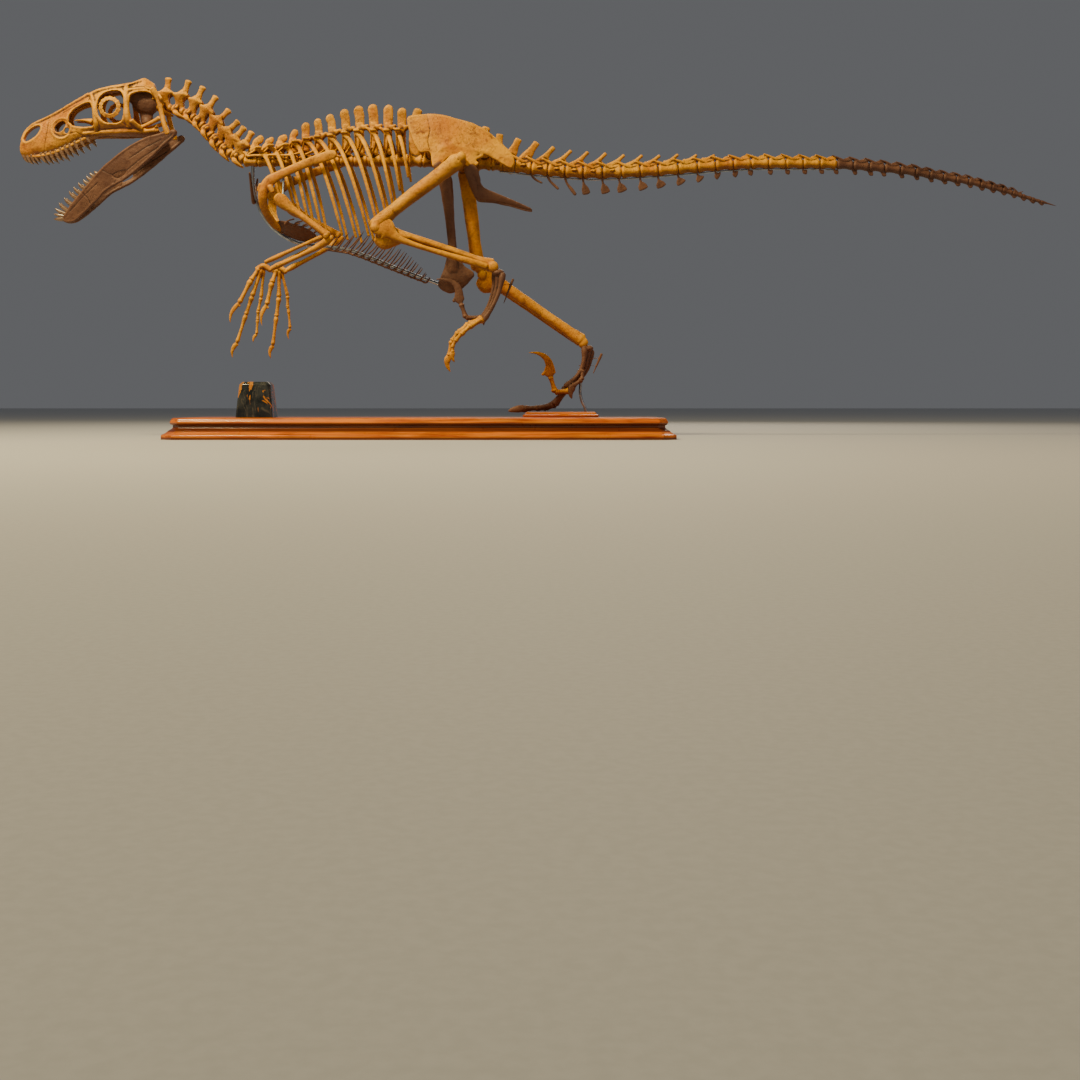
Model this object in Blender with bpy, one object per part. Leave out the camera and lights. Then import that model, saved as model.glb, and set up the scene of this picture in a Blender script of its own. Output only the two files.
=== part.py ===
"""A mounted skeleton of a small sickle-clawed dinosaur on a stepped wooden base.

The animal stands on its right foot, its head towards -X, its left side
towards -Y and +Z up. The origin is the middle of the underside of the base.
Lengths are in millimetres and become metres where a mesh is made.
"""
import math

import bmesh
import bpy
import numpy as np
from mathutils import Matrix, Vector

MM = 0.001
GAP = 0.3
WELD = 0.02 * MM
LEFT = -1
RIGHT = 1

# The wooden base: two moulded tiers with straight sides and clipped corners
BASE_LENGTH = 1476
BASE_DEPTH = 500
BASE_HEIGHT = 62
CORNER_CLIP = 40
BASE_MOULDING = ((0, 0), (13, 0), (27, 21), (29, 31), (41, 33), (43, 26), (54, 25), (62, 32))

# The small plinth under the right foot and the polished stone before it
PLINTH_CENTRE = (410, 95)
PLINTH_SIZE = (230, 130)
PLINTH_MOULDING = ((0, 4), (3, 0), (7, 0), (8, 6), (12, 7), (15.7, 12))
PLINTH_TOP = BASE_HEIGHT + 0.3 + 15.7
STONE_CENTRE = (-499, -20)
STONE_FOOT = (110, 92)
STONE_TOP = (92, 76)
STONE_HEIGHT = 106
STONE_CHAMFER = 8

# The skull stands in its own frame: from the jaw joint forward and upward
JAW_JOINT = (-768, 910)
SKULL_TILT = math.radians(8.4)
SKULL_WALL = 9
UPPER_TEETH = 11
UPPER_TOOTH_ROW = (424, 232)

# The lower jaw hangs open from the same joint, each half a thin plank of bone
MANDIBLE_JOINT = (-741, 905)
MANDIBLE_TILT = math.radians(36.7)
MANDIBLE_THICKNESS = 11
MANDIBLE_SPREAD = 58
MANDIBLE_TIP_SPREAD = 8
LOWER_TEETH = 11
LOWER_TOOTH_ROW = (408, 262)

# The backbone: middles of the vertebral bodies, in x and z
NECK_MIDDLES = ((-806, 994), (-778, 991), (-737, 984), (-703, 969), (-676, 948),
                (-650, 921), (-624, 890), (-596, 862), (-560, 840))
NECK_TIPS = ((-767, 1077), (-707, 1069), (-664, 1051), (-625, 1022),
             (-587, 982), (-559, 948), (-541, 930), (-518, 916))
BACK_COUNT = 12
BACK_FIRST = -520
BACK_SPACING = 41.2
BACK_FLOOR = 813
BACK_TIP_X = (-492, -460, -421, -389, -356, -320, -283, -240, -197, -155, -108, -67)
BACK_TIP_Z = (908, 903, 911, 926, 947, 959, 972, 987, 997, 1002, 1000, 991)
BACK_ARCH_Z = (872, 878, 886, 896, 907, 917, 928, 937, 942, 943, 942, 941)
SACRAL_COUNT = 6
SACRAL_TIPS = ((-21, 992), (24, 982), (68, 970), (108, 958), (146, 947), (186, 936))

# The ribs: heads on the transverse processes, feet near the belly, widest half width
RIB_HEADS = ((-492, 859), (-456, 866), (-411, 868), (-385, 878), (-352, 886), (-320, 892),
             (-281, 896), (-239, 904), (-203, 910), (-153, 911), (-113, 911), (-80, 913))
RIB_FEET = ((-425, 712), (-378, 668), (-340, 642), (-301, 622), (-238, 602), (-196, 594),
            (-159, 599), (-130, 614), (-104, 645), (-88, 690), (-68, 735), (-44, 776))
RIB_REACH = (40, 52, 60, 67, 72, 76, 78, 78, 76, 72, 64, 52)
RIB_STEPS = 5

# The tail: middles of its bodies, in x and z, then its gentle swing to the right
TAIL_LINE = ((198, 821), (260, 817), (340, 806), (420, 799), (505, 795), (600, 797), (700, 803),
             (800, 811), (900, 820), (1000, 825), (1200, 825), (1300, 820), (1395, 812),
             (1470, 806), (1550, 794), (1640, 778), (1750, 749), (1840, 722), (1906, 705))
TAIL_SWING = 45
TAIL_FIRST_LENGTH = 52
TAIL_LAST_LENGTH = 26
TAIL_TAPER_START = 1330
TAIL_SPINED = 13
TAIL_WINGED = 7
TAIL_CRESTED = 25
TAIL_BREAKS = (560, 960, 1395)

# Shoulder girdle and arms
BLADE_THICKNESS = 9
ELBOW_LEFT = (-273, -112, 594)
ELBOW_RIGHT = (-270, 112, 620)
WRIST_LEFT = (-458, -64, 513)
WRIST_RIGHT = (-436, 72, 520)

# Hips and legs
HIP = (104, 820)
HIP_SPREAD = 84
KNEE_LEFT = (-140, -114, 620)
KNEE_RIGHT = (157, 92, 512)
ANKLE_LEFT = (212, -90, 500)
ANKLE_RIGHT = (480, 95, 284)

# Steel rods of the mount
BELLY_ROD_RADIUS = 5
FOOT_ROD_RADIUS = 4.5
TAIL_ROD_RADIUS = 2
SHOULDER_ROD_RADIUS = 3.5
BELLY_ROD = ((-514, 809), (-514, 777), (-507, 723), (-488, 675), (-460, 636), (-412, 599),
             (-361, 580), (-290, 574), (-223, 564), (-183, 550), (-103, 518), (-31, 490), (44, 462))

GASTRALIA_ROWS = 16

# Looks of the pieces: linear colour, roughness and metallic value
FINISHES = {
    "bone": ((0.62, 0.36, 0.15), 0.55, 0.0),
    "dark_bone": ((0.36, 0.2, 0.11), 0.6, 0.0),
    "claw": ((0.3, 0.15, 0.08), 0.45, 0.0),
    "wood": ((0.33, 0.075, 0.02), 0.2, 0.0),
    "stone": ((0.02, 0.024, 0.026), 0.12, 0.0),
    "steel": ((0.32, 0.35, 0.4), 0.3, 1.0),
}

for old in list(bpy.data.objects):
    bpy.data.objects.remove(old, do_unlink=True)

scene = bpy.context.scene
skeleton = bpy.data.collections.new("mounted_dinosaur_skeleton")
cutters = bpy.data.collections.new("cutters")
scene.collection.children.link(skeleton)
scene.collection.children.link(cutters)

materials = {}
for finish, (colour, roughness, metallic) in FINISHES.items():
    material = bpy.data.materials.new(finish)
    material.use_nodes = True
    shader = material.node_tree.nodes["Principled BSDF"]
    shader.inputs["Base Color"].default_value = (*colour, 1)
    shader.inputs["Roughness"].default_value = roughness
    shader.inputs["Metallic"].default_value = metallic
    materials[finish] = material

random = np.random.default_rng(12)


# Making single closed pieces

def piece_from(mesh_editor):
    """Turn a bmesh in millimetres into a closed object that waits to be joined."""
    bmesh.ops.scale(mesh_editor, vec=(MM, MM, MM), verts=mesh_editor.verts)
    bmesh.ops.recalc_face_normals(mesh_editor, faces=mesh_editor.faces)
    mesh = bpy.data.meshes.new("piece")
    mesh_editor.to_mesh(mesh)
    mesh_editor.free()
    piece = bpy.data.objects.new("piece", mesh)
    cutters.objects.link(piece)
    return piece


def loft(rings):
    """Close the skin over rings of equal counts of points, with a flat cap at each end."""
    editor = bmesh.new()
    loops = [[editor.verts.new(point) for point in ring] for ring in rings]
    count = len(loops[0])
    for first, second in zip(loops, loops[1:]):
        for i in range(count):
            j = (i + 1) % count
            editor.faces.new((first[i], first[j], second[j], second[i]))
    editor.faces.new(reversed(loops[0]))
    editor.faces.new(loops[-1])
    return piece_from(editor)


def shaft(stations, sides=6, across=(0, 1, 0), turn=0.5):
    """A bone from stations (x, y, z, half width across, half depth), swept along its own line."""
    rows = [tuple(row) + (row[3],) if len(row) == 4 else tuple(row) for row in stations]
    middles = [Vector(row[:3]) for row in rows]
    rings = []
    for i, row in enumerate(rows):
        along = (middles[min(i + 1, len(rows) - 1)] - middles[max(i - 1, 0)]).normalized()
        wide = Vector(across)
        wide = (wide - along * wide.dot(along)).normalized()
        deep = along.cross(wide)
        angles = [2 * math.pi * (k + turn) / sides for k in range(sides)]
        rings.append([middles[i] + wide * (row[3] * math.cos(a)) + deep * (row[4] * math.sin(a))
                      for a in angles])
    return loft(rings)


def beam(stations, across=(0, 1, 0)):
    """A four-sided shaft whose faces, not corners, stand at the half sizes given."""
    root = math.sqrt(2)
    rows = [tuple(row) + (row[3],) if len(row) == 4 else tuple(row) for row in stations]
    return shaft([(x, y, z, a * root, b * root) for x, y, z, a, b in rows], 4, across)


def chain(places, sizes, sides=6, waist=0.75):
    """Bones end to end as one skin: full size at each joint and narrower between joints."""
    rows = []
    for k, (place, size) in enumerate(zip(places, sizes)):
        rows.append((*place, size, size))
        if k < len(places) - 1:
            middle = Vector(place).lerp(Vector(places[k + 1]), 0.5)
            slim = waist * (size + sizes[k + 1]) / 2
            rows.append((*middle, slim, slim))
    return shaft(rows, sides)


def spike(root, tip, half_wide, half_deep, sides=4):
    """A pyramid with its foot at root, for teeth and other pointed pieces."""
    start = Vector(root)
    end = Vector(tip)
    along = (end - start).normalized()
    wide = Vector((0, 1, 0))
    wide = (wide - along * wide.dot(along)).normalized()
    deep = along.cross(wide)
    editor = bmesh.new()
    ring = []
    for k in range(sides):
        a = 2 * math.pi * (k + 0.5) / sides
        ring.append(editor.verts.new(start + wide * half_wide * math.cos(a)
                                     + deep * half_deep * math.sin(a)))
    point = editor.verts.new(end)
    for k in range(sides):
        editor.faces.new((ring[k], ring[(k + 1) % sides], point))
    editor.faces.new(reversed(ring))
    return piece_from(editor)


def rod(points, radii, sides=6):
    """A round rod as a bevelled curve through points, with a radius at each."""
    curve = bpy.data.curves.new("rod", "CURVE")
    curve.dimensions = "3D"
    curve.bevel_depth = MM
    curve.bevel_resolution = (sides - 4) // 2
    curve.use_fill_caps = True
    line = curve.splines.new("POLY")
    line.points.add(len(points) - 1)
    for slot, point, radius in zip(line.points, points, radii):
        slot.co = (point[0] * MM, point[1] * MM, point[2] * MM, 1)
        slot.radius = radius
    return mesh_piece(curve)


def mesh_piece(curve):
    """Change a curve into a welded closed mesh object."""
    guide = bpy.data.objects.new("guide", curve)
    cutters.objects.link(guide)
    graph = bpy.context.evaluated_depsgraph_get()
    mesh = bpy.data.meshes.new_from_object(guide.evaluated_get(graph))
    bpy.data.objects.remove(guide, do_unlink=True)
    editor = bmesh.new()
    editor.from_mesh(mesh)
    bmesh.ops.remove_doubles(editor, verts=editor.verts, dist=WELD)
    bmesh.ops.scale(editor, vec=(1 / MM, 1 / MM, 1 / MM), verts=editor.verts)
    bpy.data.meshes.remove(mesh)
    return piece_from(editor)


def plate(outline, thickness, holes=()):
    """A flat plank of bone: an outline in x and z, drawn as a filled curve and thickened in y."""
    curve = bpy.data.curves.new("plate", "CURVE")
    curve.dimensions = "2D"
    curve.fill_mode = "BOTH"
    curve.extrude = thickness / 2 * MM
    for loop in (outline, *holes):
        line = curve.splines.new("POLY")
        line.points.add(len(loop) - 1)
        line.use_cyclic_u = True
        for slot, (x, z) in zip(line.points, loop):
            slot.co = (x * MM, z * MM, 0, 1)
    piece = mesh_piece(curve)
    piece.data.transform(Matrix.Rotation(math.radians(90), 4, "X"))
    return piece


def ellipse(middle, half_long, half_high, tilt=0.0, count=10):
    """Points of a tilted ellipse in x and z."""
    points = []
    for k in range(count):
        a = 2 * math.pi * k / count
        x = half_long * math.cos(a)
        z = half_high * math.sin(a)
        points.append((middle[0] + x * math.cos(tilt) - z * math.sin(tilt),
                       middle[1] + x * math.sin(tilt) + z * math.cos(tilt)))
    return points


def lean(piece, place):
    """Shift every point sideways by place(x, z), both in millimetres."""
    for vertex in piece.data.vertices:
        vertex.co.y += place(vertex.co.x / MM, vertex.co.z / MM) * MM
    return piece


def mirrored(points):
    """The same points on the other side of the animal."""
    return [(row[0], -row[1], *row[2:]) for row in points]


def sided(stations, side):
    """Stations written for the right side, turned to the side that is asked for."""
    return list(stations) if side == RIGHT else mirrored(stations)


# Joining pieces to bones and seating the bones against each other

def largest_surface(mesh):
    """Keep the largest closed surface of a mesh and drop scraps and sealed hollows."""
    editor = bmesh.new()
    editor.from_mesh(mesh)
    bmesh.ops.remove_doubles(editor, verts=editor.verts, dist=WELD)
    bmesh.ops.dissolve_degenerate(editor, edges=editor.edges, dist=WELD)
    left = set(editor.verts)
    groups = []
    while left:
        seed = left.pop()
        group = {seed}
        front = [seed]
        while front:
            vertex = front.pop()
            for edge in vertex.link_edges:
                other = edge.other_vert(vertex)
                if other in left:
                    left.remove(other)
                    group.add(other)
                    front.append(other)
        groups.append(group)

    def reach(group):
        spots = np.array([vertex.co for vertex in group])
        return float(np.prod(np.ptp(spots, axis=0) + MM))

    groups.sort(key=reach, reverse=True)
    for group in groups[1:]:
        bmesh.ops.delete(editor, geom=list(group), context="VERTS")
    bmesh.ops.dissolve_limit(editor, angle_limit=math.radians(0.5), verts=editor.verts,
                             edges=editor.edges)
    bmesh.ops.triangulate(editor, faces=editor.faces)
    editor.to_mesh(mesh)
    editor.free()


def apply_boolean(body, operation, target):
    """Cut or join a body with an object or a collection, and apply the result."""
    modifier = body.modifiers.new(operation, "BOOLEAN")
    modifier.operation = operation
    modifier.solver = "EXACT"
    if isinstance(target, bpy.types.Collection):
        modifier.operand_type = "COLLECTION"
        modifier.collection = target
    else:
        modifier.object = target
    graph = bpy.context.evaluated_depsgraph_get()
    result = bpy.data.meshes.new_from_object(body.evaluated_get(graph))
    body.modifiers.clear()
    body.data = result


def fuse(name, pieces, finish, origin):
    """Unite closed pieces into one named bone whose object stands at origin."""
    body = pieces[0]
    if len(pieces) > 1:
        group = bpy.data.collections.new(name + "_pieces")
        scene.collection.children.link(group)
        for piece in pieces[1:]:
            cutters.objects.unlink(piece)
            group.objects.link(piece)
        apply_boolean(body, "UNION", group)
        for piece in list(group.objects):
            bpy.data.objects.remove(piece, do_unlink=True)
        bpy.data.collections.remove(group)
    largest_surface(body.data)
    cutters.objects.unlink(body)
    skeleton.objects.link(body)
    body.name = name
    body.data.name = name
    body.data.materials.clear()
    body.data.materials.append(materials[finish])
    place = Vector(origin) * MM
    body.data.transform(Matrix.Translation(-place))
    body.location = place
    bpy.context.view_layer.update()
    return body


def cut(body, *tools):
    """Take loose tool pieces out of a body."""
    for tool in tools:
        tool.hide_render = True
        tool.display_type = "WIRE"
        apply_boolean(body, "DIFFERENCE", tool)
        bpy.data.objects.remove(tool, do_unlink=True)
    return body


def seat(bone, *carriers):
    """Cut a bone back from the bones that carry it, leaving the fitting gap between faces."""
    for carrier in carriers:
        swollen = carrier.copy()
        swollen.data = carrier.data.copy()
        cutters.objects.link(swollen)
        normals = [Vector(vertex.normal) for vertex in swollen.data.vertices]
        for vertex, normal in zip(swollen.data.vertices, normals):
            vertex.co += normal * GAP * 2 * MM
        cut(bone, swollen)
    largest_surface(bone.data)
    bone.data.materials.clear()
    bone.data.materials.append(carrier_finish(bone))


def carrier_finish(bone):
    """The material that a bone was given when it was fused."""
    return finishes_by_bone[bone.name]


finishes_by_bone = {}


def build(name, pieces, finish, origin):
    """Fuse a bone and remember its finish."""
    body = fuse(name, pieces, finish, origin)
    finishes_by_bone[name] = materials[finish]
    return body


# The stand

def board_outline(length, depth, clip):
    """A board's plan: a rectangle with its corners clipped."""
    half_long = length / 2
    half_deep = depth / 2
    points = []
    for sx, sy in ((-1, -1), (1, -1), (1, 1), (-1, 1)):
        on_length = (sx * (half_long - clip), sy * half_deep)
        on_depth = (sx * half_long, sy * (half_deep - clip))
        points += [on_length, on_depth] if sx * sy < 0 else [on_depth, on_length]
    return points


def moulded_board(name, centre, size, height, moulding, clip):
    """A moulded board: its plan drawn in at each level of the moulding."""
    rings = []
    for level, inset in moulding:
        plan = board_outline(size[0] - 2 * inset, size[1] - 2 * inset, clip)
        rings.append([(centre[0] + x, centre[1] + y, height + level) for x, y in plan])
    return build(name, [loft(rings)], "wood", (centre[0], centre[1], height))


base = moulded_board("stand_base", (0, 0), (BASE_LENGTH, BASE_DEPTH), 0, BASE_MOULDING, CORNER_CLIP)
plinth = moulded_board("stand_plinth", PLINTH_CENTRE, PLINTH_SIZE, BASE_HEIGHT + GAP,
                       PLINTH_MOULDING, 8)


def stone_ring(size, level, chamfer):
    """One level of the tapered stone: a rectangle with cut corners."""
    plan = board_outline(size[0], size[1], chamfer)
    return [(STONE_CENTRE[0] + x, STONE_CENTRE[1] + y, level) for x, y in plan]


stone_floor = BASE_HEIGHT + GAP
stone_top = stone_floor + STONE_HEIGHT
block = build("stand_block", [loft([
    stone_ring(STONE_FOOT, stone_floor, 3),
    stone_ring(STONE_TOP, stone_top - STONE_CHAMFER, 9),
    stone_ring((STONE_TOP[0] - 2 * STONE_CHAMFER, STONE_TOP[1] - 2 * STONE_CHAMFER), stone_top, 6),
])], "stone", (*STONE_CENTRE, stone_floor))


# Skull and jaws

def skull_spot(forward, up, side=0.0):
    """A place in the skull's own frame, as a place in the model."""
    c = math.cos(SKULL_TILT)
    s = math.sin(SKULL_TILT)
    return (JAW_JOINT[0] - forward * c - up * s, side, JAW_JOINT[1] - forward * s + up * c)


# Stations from snout to back: forward, palate height, roof height, half widths low and high
SKULL_STATIONS = ((433, -2, 36, 11, 8), (424, -6, 54, 16, 10), (389, -11, 81, 20, 11),
                  (331, 1, 101, 27, 13), (267, 14, 127, 38, 17), (207, 25, 146, 51, 27),
                  (169, 24, 158, 60, 36), (130, 17, 160, 64, 38), (84, 14, 161, 66, 36),
                  (62, 14, 169, 65, 32), (42, 10, 177, 63, 24), (20, 2, 155, 61, 20))


def skull_ring(row, shrink=0.0):
    """One cross-section of the skull: broad cheeks, narrow palate and a low roof ridge."""
    forward, floor, roof, low, high = row
    low -= shrink
    high -= shrink
    floor += shrink
    roof -= shrink
    cheek = floor + 0.24 * (roof - floor)
    shoulder = floor + 0.86 * (roof - floor)
    half = [(0.72 * low, floor), (low, cheek), (high * 1.12, shoulder), (high * 0.5, roof)]
    loop = half + [(-w, h) for w, h in reversed(half)]
    return [skull_spot(forward, h, w) for w, h in loop]


def skull_hole(points, depth=200):
    """A window cut through both cheeks, drawn in the skull's own frame."""
    outline = [(skull_spot(forward, up)[0], skull_spot(forward, up)[2]) for forward, up in points]
    return plate(outline, depth)


skull_pieces = [loft([skull_ring(row) for row in SKULL_STATIONS])]
hollow = [row for row in SKULL_STATIONS if row[0] < 300]
hollow[-1] = (-30, 2, 120, 61, 20)
cut(skull_pieces[0], loft([skull_ring(row, SKULL_WALL) for row in hollow]))
nostril = ellipse((392, 57), 25, 14, math.radians(-38))
fossa = ellipse((304, 68), 17, 13, math.radians(-30), 8)
snout_window = ((284, 64), (281, 84), (270, 100), (248, 114), (214, 118), (206, 106), (204, 72),
                (216, 47), (244, 46))
orbit = ellipse((150, 98), 37, 45, 0.0, 12)
temple_window = ((97, 44), (88, 84), (80, 108), (62, 124), (42, 128), (24, 104), (24, 70),
                 (30, 44), (46, 24), (64, 22))
cut(skull_pieces[0], *[skull_hole(window)
                       for window in (nostril, fossa, snout_window, orbit, temple_window)])
braincase = [(*skull_spot(104, 128), 24, 22), (*skull_spot(70, 122), 28, 34),
             (*skull_spot(30, 112), 26, 36), (*skull_spot(10, 96), 14, 16)]
skull_pieces.append(shaft(braincase, 6))
for side in (LEFT, RIGHT):
    wing = [(*skull_spot(22, 112, 10 * side), 8, 14), (*skull_spot(8, 104, 44 * side), 6, 11),
            (*skull_spot(-8, 99, 62 * side), 3, 5)]
    skull_pieces.append(beam(wing, (1, 0, 0)))
    quadrate = [(*skull_spot(22, 112, 50 * side), 6, 9), (*skull_spot(14, 62, 54 * side), 5, 8),
                (*skull_spot(2, 12, 56 * side), 7, 9), (*skull_spot(-8, -12, 57 * side), 6, 7)]
    skull_pieces.append(shaft(quadrate, 6))
    skull_pieces.append(beam([(*skull_spot(30, 14, 55 * side), 4, 6),
                              (*skull_spot(-2, 6, 56 * side), 4, 5)]))
    for k in range(UPPER_TEETH):
        part = k / (UPPER_TEETH - 1)
        forward = UPPER_TOOTH_ROW[0] + part * (UPPER_TOOTH_ROW[1] - UPPER_TOOTH_ROW[0])
        floor = float(np.interp(forward, [232, 267, 331, 389, 424], [21, 14, 1, -11, -6]))
        wide = float(np.interp(forward, [232, 267, 331, 389, 424], [34, 27, 19, 14, 10]))
        length = (14, 17, 15)[k] if k < 3 else 24 - 1.7 * abs(k - 6)
        length *= random.uniform(0.88, 1.08)
        skull_pieces.append(spike(skull_spot(forward, floor + 6, wide * side),
                                  skull_spot(forward - 0.32 * length, floor - length,
                                             wide * side * 1.02), 4.4, 6.2))
skull = build("skull", skull_pieces, "bone", skull_spot(10, 96))

for side, name in ((LEFT, "sclerotic_ring_left"), (RIGHT, "sclerotic_ring_right")):
    ring_middle = skull_spot(150, 98)
    eye_ring = plate(ellipse((ring_middle[0], ring_middle[2]), 37, 37, 0, 10), 5,
                     [ellipse((ring_middle[0], ring_middle[2]), 20, 20, 0, 10)])
    lean(eye_ring, lambda x, z: side * 50)
    seat(build(name, [eye_ring], "bone", (ring_middle[0], side * 50, ring_middle[2])), skull)


def jaw_spot(forward, up, side=0.0):
    """A place in the lower jaw's own frame, as a place in the model."""
    c = math.cos(MANDIBLE_TILT)
    s = math.sin(MANDIBLE_TILT)
    return (MANDIBLE_JOINT[0] - forward * c - up * s, side,
            MANDIBLE_JOINT[1] - forward * s + up * c)


def jaw_side(x, z):
    """Half spread of the jaw at a place: wide at the joint, narrow at the tip."""
    forward = ((MANDIBLE_JOINT[0] - x) * math.cos(MANDIBLE_TILT)
               + (MANDIBLE_JOINT[1] - z) * math.sin(MANDIBLE_TILT))
    return MANDIBLE_SPREAD + (MANDIBLE_TIP_SPREAD - MANDIBLE_SPREAD) * forward / 418


JAW_OUTLINE = ((-11, 12), (2, 13), (14, 6), (36, 20), (63, 36), (116, 49), (165, 50), (217, 48),
               (242, 43), (280, 33), (321, 28), (368, 22), (400, 12), (417, 2), (414, -12),
               (396, -20), (359, -23), (319, -19), (276, -12), (240, -14), (208, -22),
               (170, -24), (131, -20), (77, -16), (35, -13), (2, -14), (-12, -4))
JAW_WINDOW = ((219, 12), (200, 10), (178, -2), (190, -10), (217, -4))

mandibles = {}
for side, name in ((LEFT, "mandible_left"), (RIGHT, "mandible_right")):
    outline = [(jaw_spot(a, b)[0], jaw_spot(a, b)[2]) for a, b in JAW_OUTLINE]
    window = [(jaw_spot(a, b)[0], jaw_spot(a, b)[2]) for a, b in JAW_WINDOW]
    pieces = [lean(plate(outline, MANDIBLE_THICKNESS, [window]),
                   lambda x, z: side * jaw_side(x, z))]
    for k in range(LOWER_TEETH):
        part = k / (LOWER_TEETH - 1)
        forward = LOWER_TOOTH_ROW[0] + part * (LOWER_TOOTH_ROW[1] - LOWER_TOOTH_ROW[0])
        edge = float(np.interp(forward, [262, 321, 368, 400, 417], [38, 28, 22, 12, 2]))
        length = (24 - 0.6 * k) * random.uniform(0.9, 1.1)
        slant = 0.85 - 0.75 * part
        root = jaw_spot(forward, edge - 5)
        tip = jaw_spot(forward + slant * length, edge + length)
        spread = jaw_side(root[0], root[2]) * side
        pieces.append(spike((root[0], spread, root[2]), (tip[0], spread, tip[2]), 4.2, 5.8))
    mandibles[side] = build(name, pieces, "dark_bone", (*MANDIBLE_JOINT[:1], side * MANDIBLE_SPREAD,
                                                        MANDIBLE_JOINT[1]))
    seat(mandibles[side], skull)


# Backbone

def vertebral_body(middle, along, half_length, radius, sides=6, y=0.0, waist=0.74):
    """A spool of bone along the backbone, narrower at its waist."""
    a = Vector((along[0], 0, along[1])).normalized()
    centre = Vector((middle[0], y, middle[1]))
    rows = []
    for step, size in ((-1, 1), (0, waist), (1, 1)):
        spot = centre + a * half_length * step
        rows.append((*spot, radius * size, radius * size))
    return shaft(rows, sides)


def neural_spine(middle, foot, tip, foot_half, blade_half, arch_width=9, blade_width=4):
    """Arch and spine in one four-sided blade, rooted in the body's middle."""
    low = Vector((middle[0], 0, middle[1]))
    neck = Vector((foot[0], 0, foot[1]))
    top = Vector((tip[0], 0, tip[1]))
    brow = neck.lerp(top, 0.72)
    return beam([(*low, arch_width, foot_half), (*neck, blade_width * 1.4, blade_half * 0.9),
                 (*brow, blade_width, blade_half * 1.1), (*top, blade_width * 0.6, blade_half * 0.6)])


neck_rows = []
neck_pieces = []
neck_stops = NECK_MIDDLES + ((BACK_FIRST, BACK_FLOOR + 15.5),)
for k, middle in enumerate(NECK_MIDDLES):
    ahead = Vector(neck_stops[max(k - 1, 0)])
    behind = Vector(neck_stops[k + 1])
    unit = (behind - ahead).normalized()
    up = Vector((-unit.y, unit.x))
    here = Vector(middle)
    room = (behind - here).length
    radius = 12 + 0.35 * k
    if k == 0:
        front = here - unit * room * 0.5
        neck_rows.append((front.x, 0, front.y, radius))
    back = here + (behind - here) * 0.5
    neck_rows.append((here.x, 0, here.y, radius * 0.72))
    neck_rows.append((back.x, 0, back.y, radius + 0.35))
    if k == 0:
        arch = here + up * 34
        neck_pieces.append(beam([(here.x, 0, here.y, 13, 9), (arch.x, 0, arch.y, 12, 8)]))
        continue
    tip = Vector(NECK_TIPS[k - 1])
    rise = (tip - here).length
    foot = here + (tip - here) * 0.56
    neck_pieces.append(neural_spine(here, foot, tip, 10, 7, 10, 4.5))
    low = here + up * 0.34 * rise - unit * (0.5 * room + 10)
    high = here + up * 0.52 * rise + unit * (0.5 * room + 6)
    mid = here + up * 0.43 * rise
    neck_pieces.append(beam([(low.x, 0, low.y, 20, 4.5), (mid.x, 0, mid.y, 11, 8),
                             (high.x, 0, high.y, 19, 4.5)]))
    for side in (LEFT, RIGHT):
        rib_root = here - unit * 6
        rib_tip = here + unit * 20 - up * (radius + 9)
        neck_pieces.append(spike((rib_root.x, 6 * side, rib_root.y), (rib_tip.x, 17 * side, rib_tip.y),
                                 5, 8))
neck = build("neck", [shaft(neck_rows, 6)] + neck_pieces, "bone",
             (NECK_MIDDLES[0][0], 0, NECK_MIDDLES[0][1]))
seat(neck, skull)


def rib_line(head, foot, reach):
    """A rib's path on the right side: out from its head, down, and in again at its foot."""
    sweep = math.radians(118)
    points = []
    radii = []
    for k in range(RIB_STEPS + 1):
        turn = sweep * (0.16 + 0.84 * k / RIB_STEPS)
        fall = (1 - math.cos(turn)) / (1 - math.cos(sweep))
        x = head[0] + (foot[0] - head[0]) * fall ** 0.78
        z = head[1] + (foot[1] - head[1]) * fall
        points.append((x, reach * math.sin(turn), z))
        radii.append(6.6 - 2.0 * k / RIB_STEPS)
    return points, radii


def trunk_pieces():
    """Back vertebrae and both sides' ribs, before they are parted along the middle."""
    places = []
    sizes = []
    for k in range(BACK_COUNT + 1):
        radius = 15.5 + 0.3 * k
        places.append((BACK_FIRST + BACK_SPACING * (k - 0.5), 0, BACK_FLOOR + radius))
        sizes.append(radius)
    pieces = [chain(places, sizes, 6, 0.78)]
    for k in range(BACK_COUNT):
        x = BACK_FIRST + BACK_SPACING * k
        arch = BACK_ARCH_Z[k]
        tip = (BACK_TIP_X[k], BACK_TIP_Z[k])
        foot = (x + 0.35 * (tip[0] - x), arch)
        pieces.append(neural_spine((x, BACK_FLOOR + 20), foot, tip, 16, 11 + 0.15 * k, 10, 3.6))
        head = RIB_HEADS[k]
        level = head[1] + 1
        pieces.append(beam([(head[0], -38, level, 9, 4.5), (x + 0.4 * (head[0] - x), 0, level + 2, 12, 8),
                            (head[0], 38, level, 9, 4.5)], (1, 0, 0)))
        points, radii = rib_line(head, RIB_FEET[k], RIB_REACH[k])
        points[0] = (head[0], 24, level)
        for side in (LEFT, RIGHT):
            pieces.append(rod(sided(points, side), radii, 4))
    return pieces


for side, name in ((LEFT, "rib_cage_left"), (RIGHT, "rib_cage_right")):
    trunk = build(name, trunk_pieces(), "bone", (BACK_FIRST, 0, BACK_FLOOR))
    bpy.ops.mesh.primitive_cube_add(size=1)
    half_space = bpy.context.object
    half_space.scale = (2, 0.4, 1)
    half_space.location = (-0.3, -side * (0.2 - GAP / 2 * MM), 0.8)
    bpy.context.view_layer.update()
    cut(trunk, half_space)
    seat(trunk, neck)

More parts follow.
